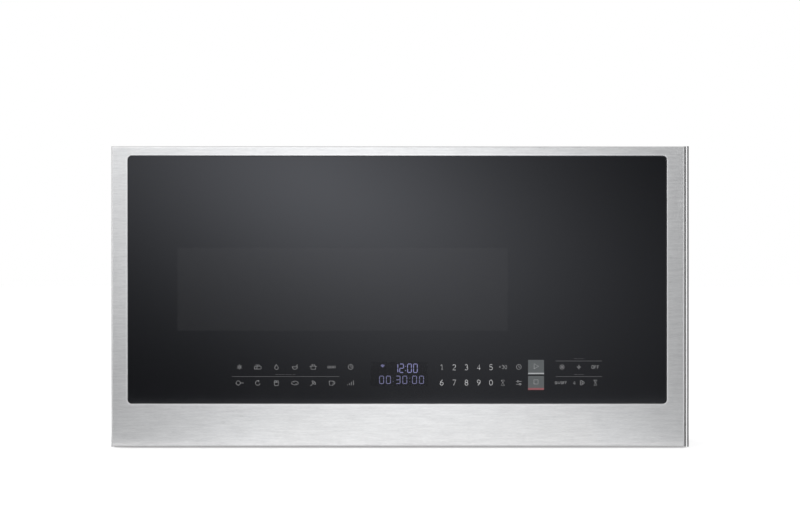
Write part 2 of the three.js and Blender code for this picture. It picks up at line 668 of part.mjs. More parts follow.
// Steel face plate behind the door: cavity opening, slots for the latch hooks and for the hinge plates.
function frontFrame() {
  const back = caseFront + SHEET;
  let plate = block(-caseHalf, caseHalf, caseFront, back, 0, HEIGHT);
  plate = cut(plate, block(cavityLeft, cavityRight, caseFront - 1, back + 1, CAVITY_FLOOR, cavityTop));
  for (const z of [HOOK_LOW, hookHigh]) {
    plate = cut(plate, latchSlot(z, caseFront - 1, back + 1));
  }
  for (const z of [upperPlateZ, lowerPlateZ]) {
    const left = hingeX - HINGE_PIN - HINGE_NOSE - SEAT;
    plate = cut(plate, block(left, hingeX + HINGE_LEAF_WIDTH, caseFront - 1, back + 1, z - SEAT,
      z + HINGE_PLATE + SEAT));
  }
  return plate;
}

// The slot that a latch hook passes through, tall enough for the nose and for the hook's lift.
function latchSlot(armZ, y0, y1) {
  const half = LATCH_THICKNESS / 2 + LATCH_SLOT_CLEARANCE;
  return block(latchX - half, latchX + half, y0, y1, armZ - HOOK_BITE - LATCH_SLOT_CLEARANCE,
    armZ + HOOK_ARM + LATCH_TRAVEL + LATCH_LIFT_ROOM);
}

// Snap-in bushing where the mains cord leaves the back.
function cordBushing() {
  const flangeRadius = CORD_HOLE + CORD_FLANGE;
  const inner = caseBack - SHEET - SEAT;
  const neck = bar('y', CORD_HOLE - SEAT, inner - CORD_BUSHING_LENGTH, caseBack - SEAT, cordX, cordZ);
  const flange = bar('y', flangeRadius, inner - CORD_FLANGE_DEPTH, inner, cordX, cordZ);
  const bore = bar('y', CORD_BORE, inner - CORD_BUSHING_LENGTH - 1, caseBack + 1, cordX, cordZ, 12);
  return cut(join(neck, flange), bore);
}

// Aluminium-framed grease filter: a folded rim round a pleated mesh pad.
function greaseFilter(x) {
  const low = SHEET + SEAT;
  const high = low + FILTER_THICKNESS;
  const padWidth = FILTER_WIDTH - 2 * FILTER_BORDER;
  const padLength = FILTER_LENGTH - 2 * FILTER_BORDER;
  const rim = cut(slab(x, filterY, FILTER_WIDTH, FILTER_LENGTH, low, high),
    slab(x, filterY, padWidth, padLength, low - 1, high + 1));
  const pitch = (padWidth + 2) / FILTER_PLEATS;
  const ridge = FILTER_THICKNESS / 4;
  const lower = [];
  const upper = [];
  for (let i = 0; i <= FILTER_PLEATS; i += 1) {
    const u = x - padWidth / 2 - 1 + i * pitch;
    const rise = i % 2 ? ridge : 0;
    lower.push([u, low + ridge + rise]);
    upper.unshift([u, low + 2 * ridge + rise]);
  }
  const padFront = filterY - padLength / 2 - 1;
  return join(rim, pullY(outline([...lower, ...upper]), padFront, padFront + padLength + 2));
}

// Frosted lens of a cooktop lamp, with its raised centre showing through the base.
function cooktopLamp(x) {
  const low = SHEET + SEAT;
  const high = low + LAMP_THICKNESS;
  const margin = 2 * (LAMP_LEDGE + SEAT);
  const plate = slab(x, lampY, LAMP_WIDTH, LAMP_LENGTH, low, high);
  const centre = slab(x, lampY, LAMP_WIDTH - margin, LAMP_LENGTH - margin, SEAT, low + 1);
  const hollow = slab(x, lampY, LAMP_WIDTH - 2 * margin, LAMP_LENGTH - 2 * margin, low + 1, high + 1);
  return cut(join(plate, centre), hollow);
}

// ---------------------------------------------------------------- Top vent

const grilleFront = skinFront + GRILLE_SETBACK;

// Louvred outlet in the top of the case, just behind the door.
function ventGrille() {
  const half = GRILLE_WIDTH / 2 - SEAT;
  const length = GRILLE_LENGTH - 2 * SEAT;
  const y0 = grilleFront + SEAT;
  const middle = y0 + length / 2;
  const top = HEIGHT - SEAT;
  const low = top - GRILLE_HEIGHT;
  const lipTop = HEIGHT - SHEET - SEAT;
  const clear = length - 2 * GRILLE_BORDER;
  const rim = slab(0, middle, 2 * half, length, low, top);
  const lip = slab(0, middle, 2 * (half + GRILLE_LIP), length + 2 * GRILLE_LIP, lipTop - 2, lipTop);
  const hole = slab(0, middle, 2 * (half - GRILLE_BORDER), clear, low - 1, top + 1);
  let shape = cut(join(rim, lip), hole);
  const pitch = clear / (LOUVRES + 1);
  for (let i = 1; i <= LOUVRES; i += 1) {
    const y = y0 + GRILLE_BORDER + i * pitch;
    const slat = outline([
      [y - LOUVRE_THICKNESS / 2 - LOUVRE_LEAN / 2, top - 1],
      [y - LOUVRE_THICKNESS / 2 + LOUVRE_LEAN / 2, low + 1],
      [y + LOUVRE_THICKNESS / 2 + LOUVRE_LEAN / 2, low + 1],
      [y + LOUVRE_THICKNESS / 2 - LOUVRE_LEAN / 2, top - 1],
    ]);
    shape = join(shape, pullX(slat, -half + 1, half - 1));
  }
  const bayWidth = (2 * half - 2 * GRILLE_BORDER) / GRILLE_BAYS;
  for (let i = 1; i < GRILLE_BAYS; i += 1) {
    const x = -half + GRILLE_BORDER + i * bayWidth;
    shape = join(shape, slab(x, middle, GRILLE_RIB, length - 2, low + 2, top - 2));
  }
  return shape;
}

// Charcoal filter clipped under the grille.
function charcoalFilter() {
  const top = HEIGHT - SEAT - GRILLE_HEIGHT - SEAT;
  const middle = grilleFront + GRILLE_LENGTH / 2;
  const length = GRILLE_LENGTH - 4;
  const pad = slab(0, middle, CHARCOAL_WIDTH, length, top - CHARCOAL_HEIGHT, top);
  const pitch = CHARCOAL_WIDTH / (CHARCOAL_CELLS + 1);
  const cells = [];
  for (let i = 0; i < CHARCOAL_CELLS; i += 1) {
    const x = (i - (CHARCOAL_CELLS - 1) / 2) * pitch;
    cells.push(slab(x, middle, pitch * 0.8, length - 10, top - CHARCOAL_HEIGHT / 4, top + 1));
  }
  return cut(pad, ...cells);
}

// ---------------------------------------------------------------- Cavity and turntable

// The oven cavity: a box of thin enamelled sheet, open at the front, with a stamped roller track.
function ovenCavity() {
  const s = CAVITY_SHEET;
  const shell = block(cavityLeft - s, cavityRight + s, skinFront, cavityBack + s, CAVITY_FLOOR - s,
    cavityTop + s);
  const room = block(cavityLeft, cavityRight, skinFront - 1, cavityBack, CAVITY_FLOOR, cavityTop);
  let shape = cut(shell, room, at(bar('z', DISH_RADIUS, -10, 10, 0, 0, 28), cavityX, cavityY, CAVITY_FLOOR));
  const dish = turned([
    [SHAFT_HOLE, -DISH_DEPTH - s], [DISH_RADIUS - DISH_SLOPE, -DISH_DEPTH - s], [DISH_RADIUS, -s],
    [DISH_RADIUS + 1, -s], [DISH_RADIUS + 1, 0], [DISH_RADIUS, 0],
    [DISH_RADIUS - DISH_SLOPE, -DISH_DEPTH], [SHAFT_HOLE, -DISH_DEPTH],
  ], 28);
  shape = join(shape, at(dish, cavityX, cavityY, CAVITY_FLOOR));
  const feed = block(cavityRight - 1, cavityRight + s + 1, GUIDE_Y - FEED_WIDTH / 2,
    GUIDE_Y + FEED_WIDTH / 2, feedLow, feedLow + FEED_HEIGHT);
  const lampHoles = holeField(cavityRight, CAVITY_LAMP_Y, cavityLampZ, LAMP_COLUMNS, LAMP_ROWS);
  const vent = holeField(cavityLeft, VENT_Y, ventZ, VENT_COLUMNS, VENT_ROWS);
  return cut(shape, feed, ...lampHoles, ...vent);
}

// A field of small six-sided holes through a side wall of the cavity.
function holeField(x, y, z, columns, rows) {
  const holes = [];
  for (let i = 0; i < columns; i += 1) {
    for (let j = 0; j < rows; j += 1) {
      const holeY = y + (i - (columns - 1) / 2) * LAMP_HOLE_PITCH;
      const holeZ = z + (j - (rows - 1) / 2) * LAMP_HOLE_PITCH;
      holes.push(bar('x', LAMP_HOLE, x - 2, x + 2, holeY, holeZ, 6));
    }
  }
  return holes;
}

function at(shape, x, y, z) {
  return shape.translate([x, y, z]);
}

// Lamp outside the cavity's wall, behind the small holes.
function cavityLamp() {
  const x0 = cavityRight + CAVITY_SHEET + SEAT;
  const x1 = x0 + LAMP_BOX_DEPTH;
  const halfY = LAMP_COLUMNS * LAMP_HOLE_PITCH / 2 + LAMP_BOX_MARGIN;
  const halfZ = LAMP_ROWS * LAMP_HOLE_PITCH / 2 + LAMP_BOX_MARGIN;
  const w = LAMP_BOX_WALL;
  const housing = block(x0, x1, CAVITY_LAMP_Y - halfY, CAVITY_LAMP_Y + halfY, cavityLampZ - halfZ,
    cavityLampZ + halfZ);
  const hollow = block(x0 - 1, x1 - w, CAVITY_LAMP_Y - halfY + w, CAVITY_LAMP_Y + halfY - w,
    cavityLampZ - halfZ + w, cavityLampZ + halfZ - w);
  const bulb = bar('x', LAMP_BULB, x1 - w - LAMP_BULB, x1 - w / 2, CAVITY_LAMP_Y, cavityLampZ, 12);
  return join(cut(housing, hollow), bulb);
}

const rollerAxis = ROLLER_RADIUS + SEAT; // above the dish's floor
const trayUnderside = 2 * ROLLER_RADIUS + 2 * SEAT;
const ringFront = RING_RADIUS + RING_WALL / 2;
const rollerTrack = ringFront + 2 + ROLLER_WIDTH / 2;

// Glass tray with an upturned rim and three lugs under its middle. Local height 0 is the dish's floor.
function glassTray() {
  const low = trayUnderside;
  const top = low + TRAY_THICKNESS;
  const inner = trayRadius - TRAY_RIM_WIDTH;
  const plate = turned([
    [0, low], [inner, low], [inner + TRAY_RIM_WIDTH * 0.6, low + TRAY_RIM * 0.25],
    [trayRadius, low + TRAY_RIM - 2], [trayRadius, low + TRAY_RIM], [trayRadius - 3, low + TRAY_RIM],
    [inner + TRAY_RIM_WIDTH * 0.35, top + TRAY_RIM * 0.2], [inner, top], [0, top],
  ], 32);
  const lugs = [];
  for (let i = 0; i < ROLLERS; i += 1) {
    const lug = block(COUPLER_RADIUS * 0.55, COUPLER_RADIUS * 1.1, -LUG_WIDTH / 2, LUG_WIDTH / 2,
      low - LUG_DEPTH, low + 1);
    lugs.push(lug.rotate([0, 0, 60 + i * 360 / ROLLERS]));
  }
  return join(plate, ...lugs);
}

// Plastic coupler on the motor's shaft: a round base with three lobes that the tray's lugs sit between.
function turntableCoupler() {
  const base = bar('z', COUPLER_RADIUS, SEAT, COUPLER_BASE, 0, 0, 24);
  const hub = bar('z', SHAFT_RADIUS + 3, SEAT, trayUnderside - SEAT, 0, 0, 18);
  const lobes = [];
  for (let i = 0; i < ROLLERS; i += 1) {
    const lobe = block(0, COUPLER_RADIUS - COUPLER_LOBE, -COUPLER_LOBE, COUPLER_LOBE, SEAT,
      trayUnderside - SEAT);
    const tip = bar('z', COUPLER_LOBE, SEAT, trayUnderside - SEAT, COUPLER_RADIUS - COUPLER_LOBE, 0, 12);
    lobes.push(join(lobe, tip).rotate([0, 0, i * 360 / ROLLERS]));
  }
  const clearBase = bar('z', COUPLER_RADIUS + 1, COUPLER_BASE - 1, COUPLER_BASE + 30, 0, 0, 24);
  const crown = join(hub, ...lobes).intersect(clearBase);
  return cut(join(base, crown), dShaft(SHAFT_RADIUS + SEAT, SHAFT_FLAT + SEAT, 0, COUPLER_BASE + 4));
}

// A round shaft along Z with one flat.
function dShaft(radius, flat, z0, z1) {
  const flatSide = block(flat, radius + 1, -radius - 1, radius + 1, z0 - 1, z1 + 1);
  return cut(bar('z', radius, z0, z1, 0, 0, 20), flatSide);
}

const motorTop = -CAVITY_SHEET - SEAT; // below the dish's floor
function driveShaft() {
  return dShaft(SHAFT_RADIUS, SHAFT_FLAT, motorTop - MOTOR_HEIGHT + 4, COUPLER_BASE + 4 - SEAT);
}

// Flat synchronous motor under the cavity with two mounting ears.
function turntableMotor() {
  const can = bar('z', MOTOR_RADIUS, motorTop - MOTOR_HEIGHT, motorTop - 1.5, 0, 0, 26);
  const ears = slab(0, 0, 2 * (MOTOR_RADIUS + MOTOR_EAR), 2 * MOTOR_EAR, motorTop - 1.5 - SHEET, motorTop);
  const holes = [-1, 1].map((side) =>
    bar('z', 2.2, motorTop - 6, motorTop + 1, side * (MOTOR_RADIUS + MOTOR_EAR / 2), 0, 10));
  const bore = bar('z', SHAFT_RADIUS + RUNNING_GAP, motorTop - MOTOR_HEIGHT + 3, motorTop + 1, 0, 0, 20);
  const connector = block(-6, 6, MOTOR_RADIUS - 3, MOTOR_RADIUS + 7, motorTop - MOTOR_HEIGHT + 2,
    motorTop - MOTOR_HEIGHT + 9);
  return cut(join(can, ears, connector), bore, ...holes);
}

// Hoop that carries the three rollers on stub axles.
function rollerRing() {
  const low = rollerAxis - RING_HEIGHT / 2;
  const hoop = turned([
    [RING_RADIUS - RING_WALL / 2, low], [ringFront, low], [ringFront, low + RING_HEIGHT],
    [RING_RADIUS - RING_WALL / 2, low + RING_HEIGHT],
  ]);
  const axles = [];
  for (let i = 0; i < ROLLERS; i += 1) {
    const inside = rollerTrack - ROLLER_WIDTH / 2 - SEAT;
    const outside = rollerTrack + ROLLER_WIDTH / 2 + SEAT;
    const shoulder = bar('x', AXLE_HEAD, RING_RADIUS, inside, 0, rollerAxis, 8);
    const axle = bar('x', AXLE_RADIUS, RING_RADIUS, outside + 1, 0, rollerAxis, 8);
    const head = bar('x', AXLE_HEAD, outside, outside + 2, 0, rollerAxis, 8);
    axles.push(join(shoulder, axle, head).rotate([0, 0, i * 360 / ROLLERS]));
  }
  return join(hoop, ...axles);
}

// One roller about its own axis, which is local Z.
function roller() {
  const half = ROLLER_WIDTH / 2;
  const bore = AXLE_RADIUS + RUNNING_GAP;
  return turned([
    [bore, -half], [ROLLER_RADIUS - 1, -half], [ROLLER_RADIUS, -half + 1], [ROLLER_RADIUS, half - 1],
    [ROLLER_RADIUS - 1, half], [bore, half],
  ], 18);
}

// ---------------------------------------------------------------- Microwave source

const feedLow = GUIDE_BOTTOM + FEED_MARGIN;

// Sheet-metal duct on the cavity's right wall, from the magnetron down to the feed opening.
function waveguide() {
  const x0 = cavityRight + CAVITY_SHEET + SEAT;
  const x1 = x0 + GUIDE_DEPTH;
  const y0 = GUIDE_Y - GUIDE_WIDTH / 2;
  const y1 = GUIDE_Y + GUIDE_WIDTH / 2;
  const duct = block(x0, x1, y0, y1, GUIDE_BOTTOM, guideTop);
  const flange = block(x0, x0 + SHEET, y0 - GUIDE_FLANGE, y1 + GUIDE_FLANGE, GUIDE_BOTTOM - GUIDE_FLANGE,
    guideTop);
  const hollow = block(x0 - 1, x1 - SHEET, y0 + SHEET, y1 - SHEET, GUIDE_BOTTOM + SHEET, guideTop - SHEET);
  const launch = bar('x', ANTENNA_RADIUS + GASKET_LAP + LAUNCH_GAP, x1 - 2 * SHEET, x1 + 1, GUIDE_Y,
    magnetronZ, 24);
  return cut(join(duct, flange), hollow, launch);
}

// Mica sheet over the feed opening inside the cavity.
function waveguideCover() {
  const lap = MICA_LAP;
  const y0 = GUIDE_Y - FEED_WIDTH / 2 - lap;
  const y1 = GUIDE_Y + FEED_WIDTH / 2 + lap;
  const sheet = rectangle(y0, y1, feedLow - lap, feedLow + FEED_HEIGHT + lap, 6);
  return pullX(sheet, cavityRight - SEAT - MICA, cavityRight - SEAT, 3);
}

// Magnetron: a steel yoke round the finned anode, the antenna into the guide and the filter box below.
function magnetron() {
  const x0 = cavityRight + CAVITY_SHEET + SEAT + GUIDE_DEPTH + SEAT;
  const x1 = x0 + MAGNETRON_LENGTH;
  const y0 = GUIDE_Y - MAGNETRON_WIDTH / 2;
  const y1 = GUIDE_Y + MAGNETRON_WIDTH / 2;
  const z0 = magnetronZ - MAGNETRON_HEIGHT / 2;
  const z1 = magnetronZ + MAGNETRON_HEIGHT / 2;
  const yoke = cut(block(x0, x1, y0, y1, z0, z1),
    block(x0 + YOKE_SHEET, x1 - YOKE_SHEET, y0 - 1, y1 + 1, z0 + YOKE_SHEET, z1 - YOKE_SHEET));
  const anode = bar('x', ANODE_RADIUS, x0 + 1, x1 - 1, GUIDE_Y, magnetronZ, 14);
  const fins = [];
  const step = (MAGNETRON_LENGTH - 2 * YOKE_SHEET) / (COOLING_FINS + 1);
  for (let i = 1; i <= COOLING_FINS; i += 1) {
    const x = x0 + YOKE_SHEET + i * step;
    fins.push(block(x - FIN_SHEET / 2, x + FIN_SHEET / 2, y0 + FIN_MARGIN, y1 - FIN_MARGIN,
      z0 + YOKE_SHEET / 2, z1 - YOKE_SHEET / 2));
  }
  const gasket = bar('x', ANTENNA_RADIUS + GASKET_LAP, x0 - SEAT - SHEET, x0 + 1, GUIDE_Y, magnetronZ, 20);
  const antenna = bar('x', ANTENNA_RADIUS, x0 - ANTENNA_LENGTH, x0 + 1, GUIDE_Y, magnetronZ, 16);
  const inset = FILTER_BOX_INSET;
  const filterBox = block(x0 + inset, x1 - inset, y0 + inset, y1 - inset, z0 - FILTER_BOX_DROP, z0 + 1);
  const plugX = (x0 + x1) / 2;
  const plugZ = z0 - FILTER_BOX_DROP / 2;
  const terminals = block(plugX - FILTER_PLUG_WIDTH / 2, plugX + FILTER_PLUG_WIDTH / 2,
    y0 - FILTER_PLUG_REACH, y0 + inset + 1, plugZ - FILTER_PLUG_HEIGHT / 2, plugZ + FILTER_PLUG_HEIGHT / 2);
  return join(yoke, anode, ...fins, gasket, antenna, filterBox, terminals);
}

// Laminated core of the high-voltage transformer with two windows, and a welded foot plate.
function transformerCore() {
  const low = BAY_FLOOR + SHEET + SEAT;
  const foot = slab(transformerX, transformerY, CORE_WIDTH + 2 * FOOT_LAP, CORE_DEPTH + 2 * FOOT_LAP, low,
    low + CORE_FOOT);
  const core = slab(transformerX, transformerY, CORE_WIDTH, CORE_DEPTH, low + 1, low + CORE_HEIGHT);
  const windowWidth = CORE_WIDTH / 2 - 2 * CORE_LEG;
  const windows = [-1, 1].map((side) => {
    const x = transformerX + side * (CORE_LEG + windowWidth / 2);
    return slab(x, transformerY, windowWidth, CORE_DEPTH + 2, low + CORE_LEG, low + CORE_HEIGHT - CORE_LEG);
  });
  return cut(join(foot, core), ...windows);
}

// One winding round the core's centre leg, between two heights given as shares of the window.
function transformerCoil(from, to) {
  const low = BAY_FLOOR + SHEET + SEAT + CORE_LEG + SEAT;
  const room = CORE_HEIGHT - 2 * CORE_LEG - 2 * SEAT;
  const halfX = CORE_LEG + SEAT;
  const halfY = CORE_DEPTH / 2 + SEAT;
  const reach = CORE_WIDTH / 2 - 2 * CORE_LEG - 2 * SEAT;
  const outer = rectangle(transformerX - halfX - reach, transformerX + halfX + reach,
    transformerY - halfY - reach, transformerY + halfY + reach, reach);
  const inner = slab(transformerX, transformerY, 2 * halfX, 2 * halfY, low - 1, low + room + 1);
  return cut(pullZ(outer, low + from * room, low + to * room, 4), inner);
}

// Oval high-voltage capacitor standing on the bay floor with its two terminals on top.
function capacitor() {
  const low = BAY_FLOOR + SHEET + SEAT;
  const can = rectangle(capacitorX - CAPACITOR_WIDTH / 2, capacitorX + CAPACITOR_WIDTH / 2,
    CAPACITOR_Y - CAPACITOR_DEPTH / 2, CAPACITOR_Y + CAPACITOR_DEPTH / 2, CAPACITOR_DEPTH / 2 - 0.5);
  const terminals = [-1, 1].map((side) =>
    block(capacitorX + side * CAPACITOR_WIDTH / 5 - TAB_WIDTH / 2,
      capacitorX + side * CAPACITOR_WIDTH / 5 + TAB_WIDTH / 2, CAPACITOR_Y - TAB_THICKNESS / 2,
      CAPACITOR_Y + TAB_THICKNESS / 2, low + CAPACITOR_HEIGHT - 1, low + CAPACITOR_HEIGHT + TAB_LENGTH));
  return join(pullZ(can, low, low + CAPACITOR_HEIGHT, 5), ...terminals);
}

// Power and relay board on stand-offs behind the front frame.
function powerBoard() {
  const x0 = powerBoardX - POWER_BOARD_WIDTH / 2;
  const x1 = powerBoardX + POWER_BOARD_WIDTH / 2;
  const z0 = POWER_BOARD_Z - POWER_BOARD_HEIGHT / 2;
  const z1 = POWER_BOARD_Z + POWER_BOARD_HEIGHT / 2;
  const face = skinFront + STANDOFF;
  const board = block(x0, x1, face, face + BOARD_THICKNESS, z0, z1);
  const posts = [];
  for (const x of [x0 + POST_INSET, x1 - POST_INSET]) {
    for (const z of [z0 + POST_INSET, z1 - POST_INSET]) {
      posts.push(bar('y', POST_RADIUS, skinFront, face + 1, x, z, 10));
    }
  }
  const top = face + BOARD_THICKNESS / 2;
  const left = x0 + PART_GAP;
  const low = z0 + 2 * PART_GAP;
  const relayX = left + SMALL_CORE + PART_GAP;
  const relayTop = low + 2 * RELAY_LENGTH + PART_GAP;
  const canZ = relayTop + PART_GAP + CAN_RADIUS;
  const sinkLow = low + SMALL_CORE + 2 * PART_GAP;
  const chipZ = z1 - 5 * PART_GAP;
  const socketTop = z1 - 2 * PART_GAP;
  const canX = relayX + CAN_RADIUS;
  const nextCanZ = canZ + 2 * CAN_RADIUS + PART_GAP / 2;
  const parts = [
    block(left, left + SMALL_CORE, top, top + SMALL_CORE_HEIGHT, low, low + SMALL_CORE),
    block(relayX, relayX + RELAY_WIDTH, top, top + RELAY_HEIGHT, low, low + RELAY_LENGTH),
    block(relayX, relayX + RELAY_WIDTH, top, top + RELAY_HEIGHT, relayTop - RELAY_LENGTH, relayTop),
    block(left, left + SINK_WIDTH, top, top + SINK_HEIGHT, sinkLow, sinkLow + SINK_LENGTH),
    block(left, x1 - 2 * PART_GAP, top, top + CHIP_HEIGHT, chipZ, chipZ + CHIP_WIDTH),
    block(left, x1 - PART_GAP, top, top + SOCKET_HEIGHT, socketTop - SOCKET_WIDTH, socketTop),
    bar('y', CAN_RADIUS, top, top + CAN_HEIGHT, canX, canZ, 14),
    bar('y', CAN_RADIUS, top, top + CAN_HEIGHT, canX, nextCanZ, 14),
  ];
  return join(board, ...posts, ...parts);
}

// ---------------------------------------------------------------- Cooling fan

const fanFrameBack = caseBack - SHEET - FAN_BACK_SPACE;
const fanFrameFront = fanFrameBack - FAN_FRAME_DEPTH;
const fanMotorFront = fanFrameBack + FAN_BAR + FAN_MOTOR_FOOT;
const fanHubBack = fanFrameFront + FAN_WALL + FAN_HUB_LENGTH;

// Square fan frame on four legs from the back plate, with a cross-bar behind for the motor.
function coolingFanHousing() {
  const half = FAN_FRAME / 2;
  const frame = block(fanX - half, fanX + half, fanFrameFront, fanFrameBack, FAN_Z - half, FAN_Z + half);
  const room = half - FAN_WALL;
  const hollow = block(fanX - room, fanX + room, fanFrameFront + FAN_WALL, fanFrameBack + 1, FAN_Z - room,
    FAN_Z + room);
  const throat = bar('y', FAN_RADIUS + FAN_TIP_GAP, fanFrameFront - 1, fanFrameBack + 1, fanX, FAN_Z, 30);
  const collar = cut(
    bar('y', FAN_RADIUS + FAN_TIP_GAP + FAN_WALL, fanFrameFront, fanFrameBack - 2, fanX, FAN_Z, 30), throat);
  const legs = [];
  for (const x of [fanX - half, fanX + half - FAN_LEG]) {
    for (const z of [FAN_Z - half, FAN_Z + half - FAN_LEG]) {
      legs.push(block(x, x + FAN_LEG, fanFrameBack - FAN_LEG, caseBack - SHEET - SEAT, z, z + FAN_LEG));
    }
  }
  const barLevel = (FAN_MOTOR_SIZE - FAN_LEG) / 2 - 1;
  const crossBars = [FAN_Z - barLevel, FAN_Z + barLevel].map((z) =>
    block(fanX - half, fanX + half, fanFrameBack, fanFrameBack + FAN_BAR, z - FAN_LEG / 2, z + FAN_LEG / 2));
  return join(cut(frame, hollow, throat), collar, ...legs, ...crossBars);
}

// Shaded-pole motor: laminated stack, coil on one side and two bearing bridges.
function coolingFanMotor() {
  const half = FAN_MOTOR_SIZE / 2;
  const y0 = fanMotorFront;
  const y1 = y0 + FAN_MOTOR_DEPTH;
  const stack = block(fanX - half, fanX + half, y0, y1, FAN_Z - half, FAN_Z + half);
  const foot = FAN_BRIDGE * 0.75;
  const feet = block(fanX - foot, fanX + foot, fanFrameBack + FAN_BAR + SEAT, y0 + 1, FAN_Z - half + 1,
    FAN_Z + half - 1);
  const side = FAN_MOTOR_DEPTH / 4;
  const gap = block(fanX + half / 2, fanX + half + 1, y0 + side, y1 - side, FAN_Z - FAN_MOTOR_GAP,
    FAN_Z + FAN_MOTOR_GAP);
  const coil = bar('z', FAN_MOTOR_COIL, FAN_Z - half * 0.75, FAN_Z + half * 0.75, fanX - half,
    (y0 + y1) / 2, 16);
  const bridge = block(fanX - FAN_BRIDGE, fanX + FAN_BRIDGE, y1 - 1, y1 + FAN_BRIDGE, FAN_Z - half * 0.85,
    FAN_Z + half * 0.85);
  const bore = bar('y', FAN_SHAFT + RUNNING_GAP, fanFrameBack, y1 + FAN_BRIDGE - 2, fanX, FAN_Z, 14);
  return cut(join(stack, feet, coil, bridge), gap, bore);
}

// Five-bladed fan with its shaft, about local Z. Each blade is lofted with more pitch at the root.
function coolingFanBlade() {
  const hub = bar('z', FAN_HUB, 0, FAN_HUB_LENGTH, 0, 0, 20);
  const reach = fanMotorFront + FAN_MOTOR_DEPTH + FAN_BRIDGE / 2 - fanHubBack;
  const shaft = bar('z', FAN_SHAFT, -reach, 1, 0, 0, 14);
  const blades = [];
  for (let i = 0; i < FAN_BLADES; i += 1) {
    blades.push(fanBlade().rotate([0, 0, i * 360 / FAN_BLADES]));
  }
  return join(hub, shaft, ...blades);
}

// One twisted blade: flat sections along the radius, skinned into a closed loft.
function fanBlade() {
  const sections = 4;
  const positions = [];
  const corner = (section, side, face) => {
    const t = section / (sections - 1);
    const root = FAN_HUB - FAN_BLADE;
    const radius = root + t * (FAN_RADIUS - root);
    const pitch = THREE.MathUtils.degToRad(THREE.MathUtils.lerp(FAN_ROOT_PITCH, FAN_TIP_PITCH, t));
    const halfChord = THREE.MathUtils.lerp(FAN_ROOT_CHORD, FAN_TIP_CHORD, t) / 2;
    const along = side * halfChord;
    const off = face * FAN_BLADE / 2;
    const around = (along * Math.cos(pitch) - off * Math.sin(pitch)) / radius;
    return [
      radius * Math.cos(around),
      radius * Math.sin(around),
      FAN_HUB_LENGTH / 2 + along * Math.sin(pitch) * 0.5 + off * Math.cos(pitch),
    ];
  };
  const loop = [[-1, -1], [1, -1], [1, 1], [-1, 1]];
  for (let s = 0; s < sections; s += 1) {
    for (const [side, face] of loop) positions.push(...corner(s, side, face));
  }
  const index = [];
  for (let s = 0; s < sections - 1; s += 1) {
    for (let k = 0; k < 4; k += 1) {
      const a = 4 * s + k;
      const b = 4 * s + (k + 1) % 4;
      index.push(a, b, b + 4, a, b + 4, a + 4);
    }
  }
  const last = 4 * (sections - 1);
  index.push(0, 3, 2, 0, 2, 1, last, last + 1, last + 2, last, last + 2, last + 3);
  const geometry = new THREE.BufferGeometry();
  geometry.setAttribute('position', new THREE.Float32BufferAttribute(positions, 3));
  geometry.setIndex(index);
  return solid(geometry);
}

// ---------------------------------------------------------------- Cooktop blower

const topRoom = HEIGHT - SHEET - SEAT - (cavityTop + CAVITY_SHEET + SEAT);
const scrollStart = WHEEL_RADIUS + SCROLL_CLEARANCE;
const scrollFrom = THREE.MathUtils.degToRad(SCROLL_START_ANGLE);
const scrollTo = THREE.MathUtils.degToRad(SCROLL_END_ANGLE);
const bottomShare = (Math.PI / 2 - scrollFrom) / (scrollTo - scrollFrom);
const scrollEnd = (topRoom - scrollStart * (1 - bottomShare)) / (1 + bottomShare);
const scrollRadius = (angle) =>
  scrollStart + (scrollEnd - scrollStart) * (angle - scrollFrom) / (scrollTo - scrollFrom);
const scrollAngles = Array.from({ length: 15 }, (_, i) => scrollFrom + (scrollTo - scrollFrom) * i / 14);
const scrollDrop = Math.max(...scrollAngles.map((angle) => scrollRadius(angle) * Math.sin(angle)));
const blowerZ = cavityTop + CAVITY_SHEET + SEAT + scrollDrop;
const blowerY = caseBack - SHEET - CASE_FLANGE - scrollRadius(Math.PI);
const wheelInner = BLOWER_MOTOR_LENGTH / 2 + BLOWER_MOTOR_GAP + SCROLL_SHEET + SCROLL_SIDE_GAP;
const scrollInner = wheelInner - SCROLL_SIDE_GAP - SCROLL_SHEET;
const scrollOuter = wheelInner + WHEEL_LENGTH + SCROLL_SIDE_GAP + SCROLL_SHEET;

// Spiral outline of a scroll in (y, z), shrunk by its wall for the hollow. The throat points forward.
function scrollOutline(wall, throat) {
  const points = scrollAngles.map((angle) => {
    const r = scrollRadius(angle) - wall;
    return [blowerY - r * Math.cos(angle), blowerZ - r * Math.sin(angle)];
  });
  points.push([blowerY - throat, blowerZ + scrollEnd - wall]);
  points.push([blowerY - throat, blowerZ - (scrollStart - wall) * Math.sin(scrollFrom) + wall]);
  return outline(points.reverse());
}

// Two scroll casings joined by the plate that carries the motor.
function blowerHousing() {
  const halves = [-1, 1].map((side) => {
    const inner = side * scrollInner;
    const outer = side * scrollOuter;
    const x0 = Math.min(inner, outer);
    const x1 = Math.max(inner, outer);
    const s = SCROLL_SHEET;
    const casing = pullX(scrollOutline(0, SCROLL_OUTLET), x0, x1);
    const hollow = pullX(scrollOutline(s, SCROLL_OUTLET + 5), x0 + s, x1 - s);
    const inlet = bar('x', WHEEL_RADIUS - BLADE_CHORD, outer - 2 * s, outer + 2 * s, blowerY, blowerZ, 24);
    const shaftHole = bar('x', BLOWER_SHAFT + SHAFT_MARGIN, inner - 2 * s, inner + 2 * s, blowerY, blowerZ);
    return cut(casing, hollow, inlet, shaftHole);
  });
  const low = blowerZ - scrollDrop;
  const bridge = block(-scrollInner - 1, scrollInner + 1, blowerY - BLOWER_MOTOR_RADIUS,
    blowerY + BLOWER_MOTOR_RADIUS, low, low + SCROLL_SHEET * 2);
  return join(...halves, bridge);
}

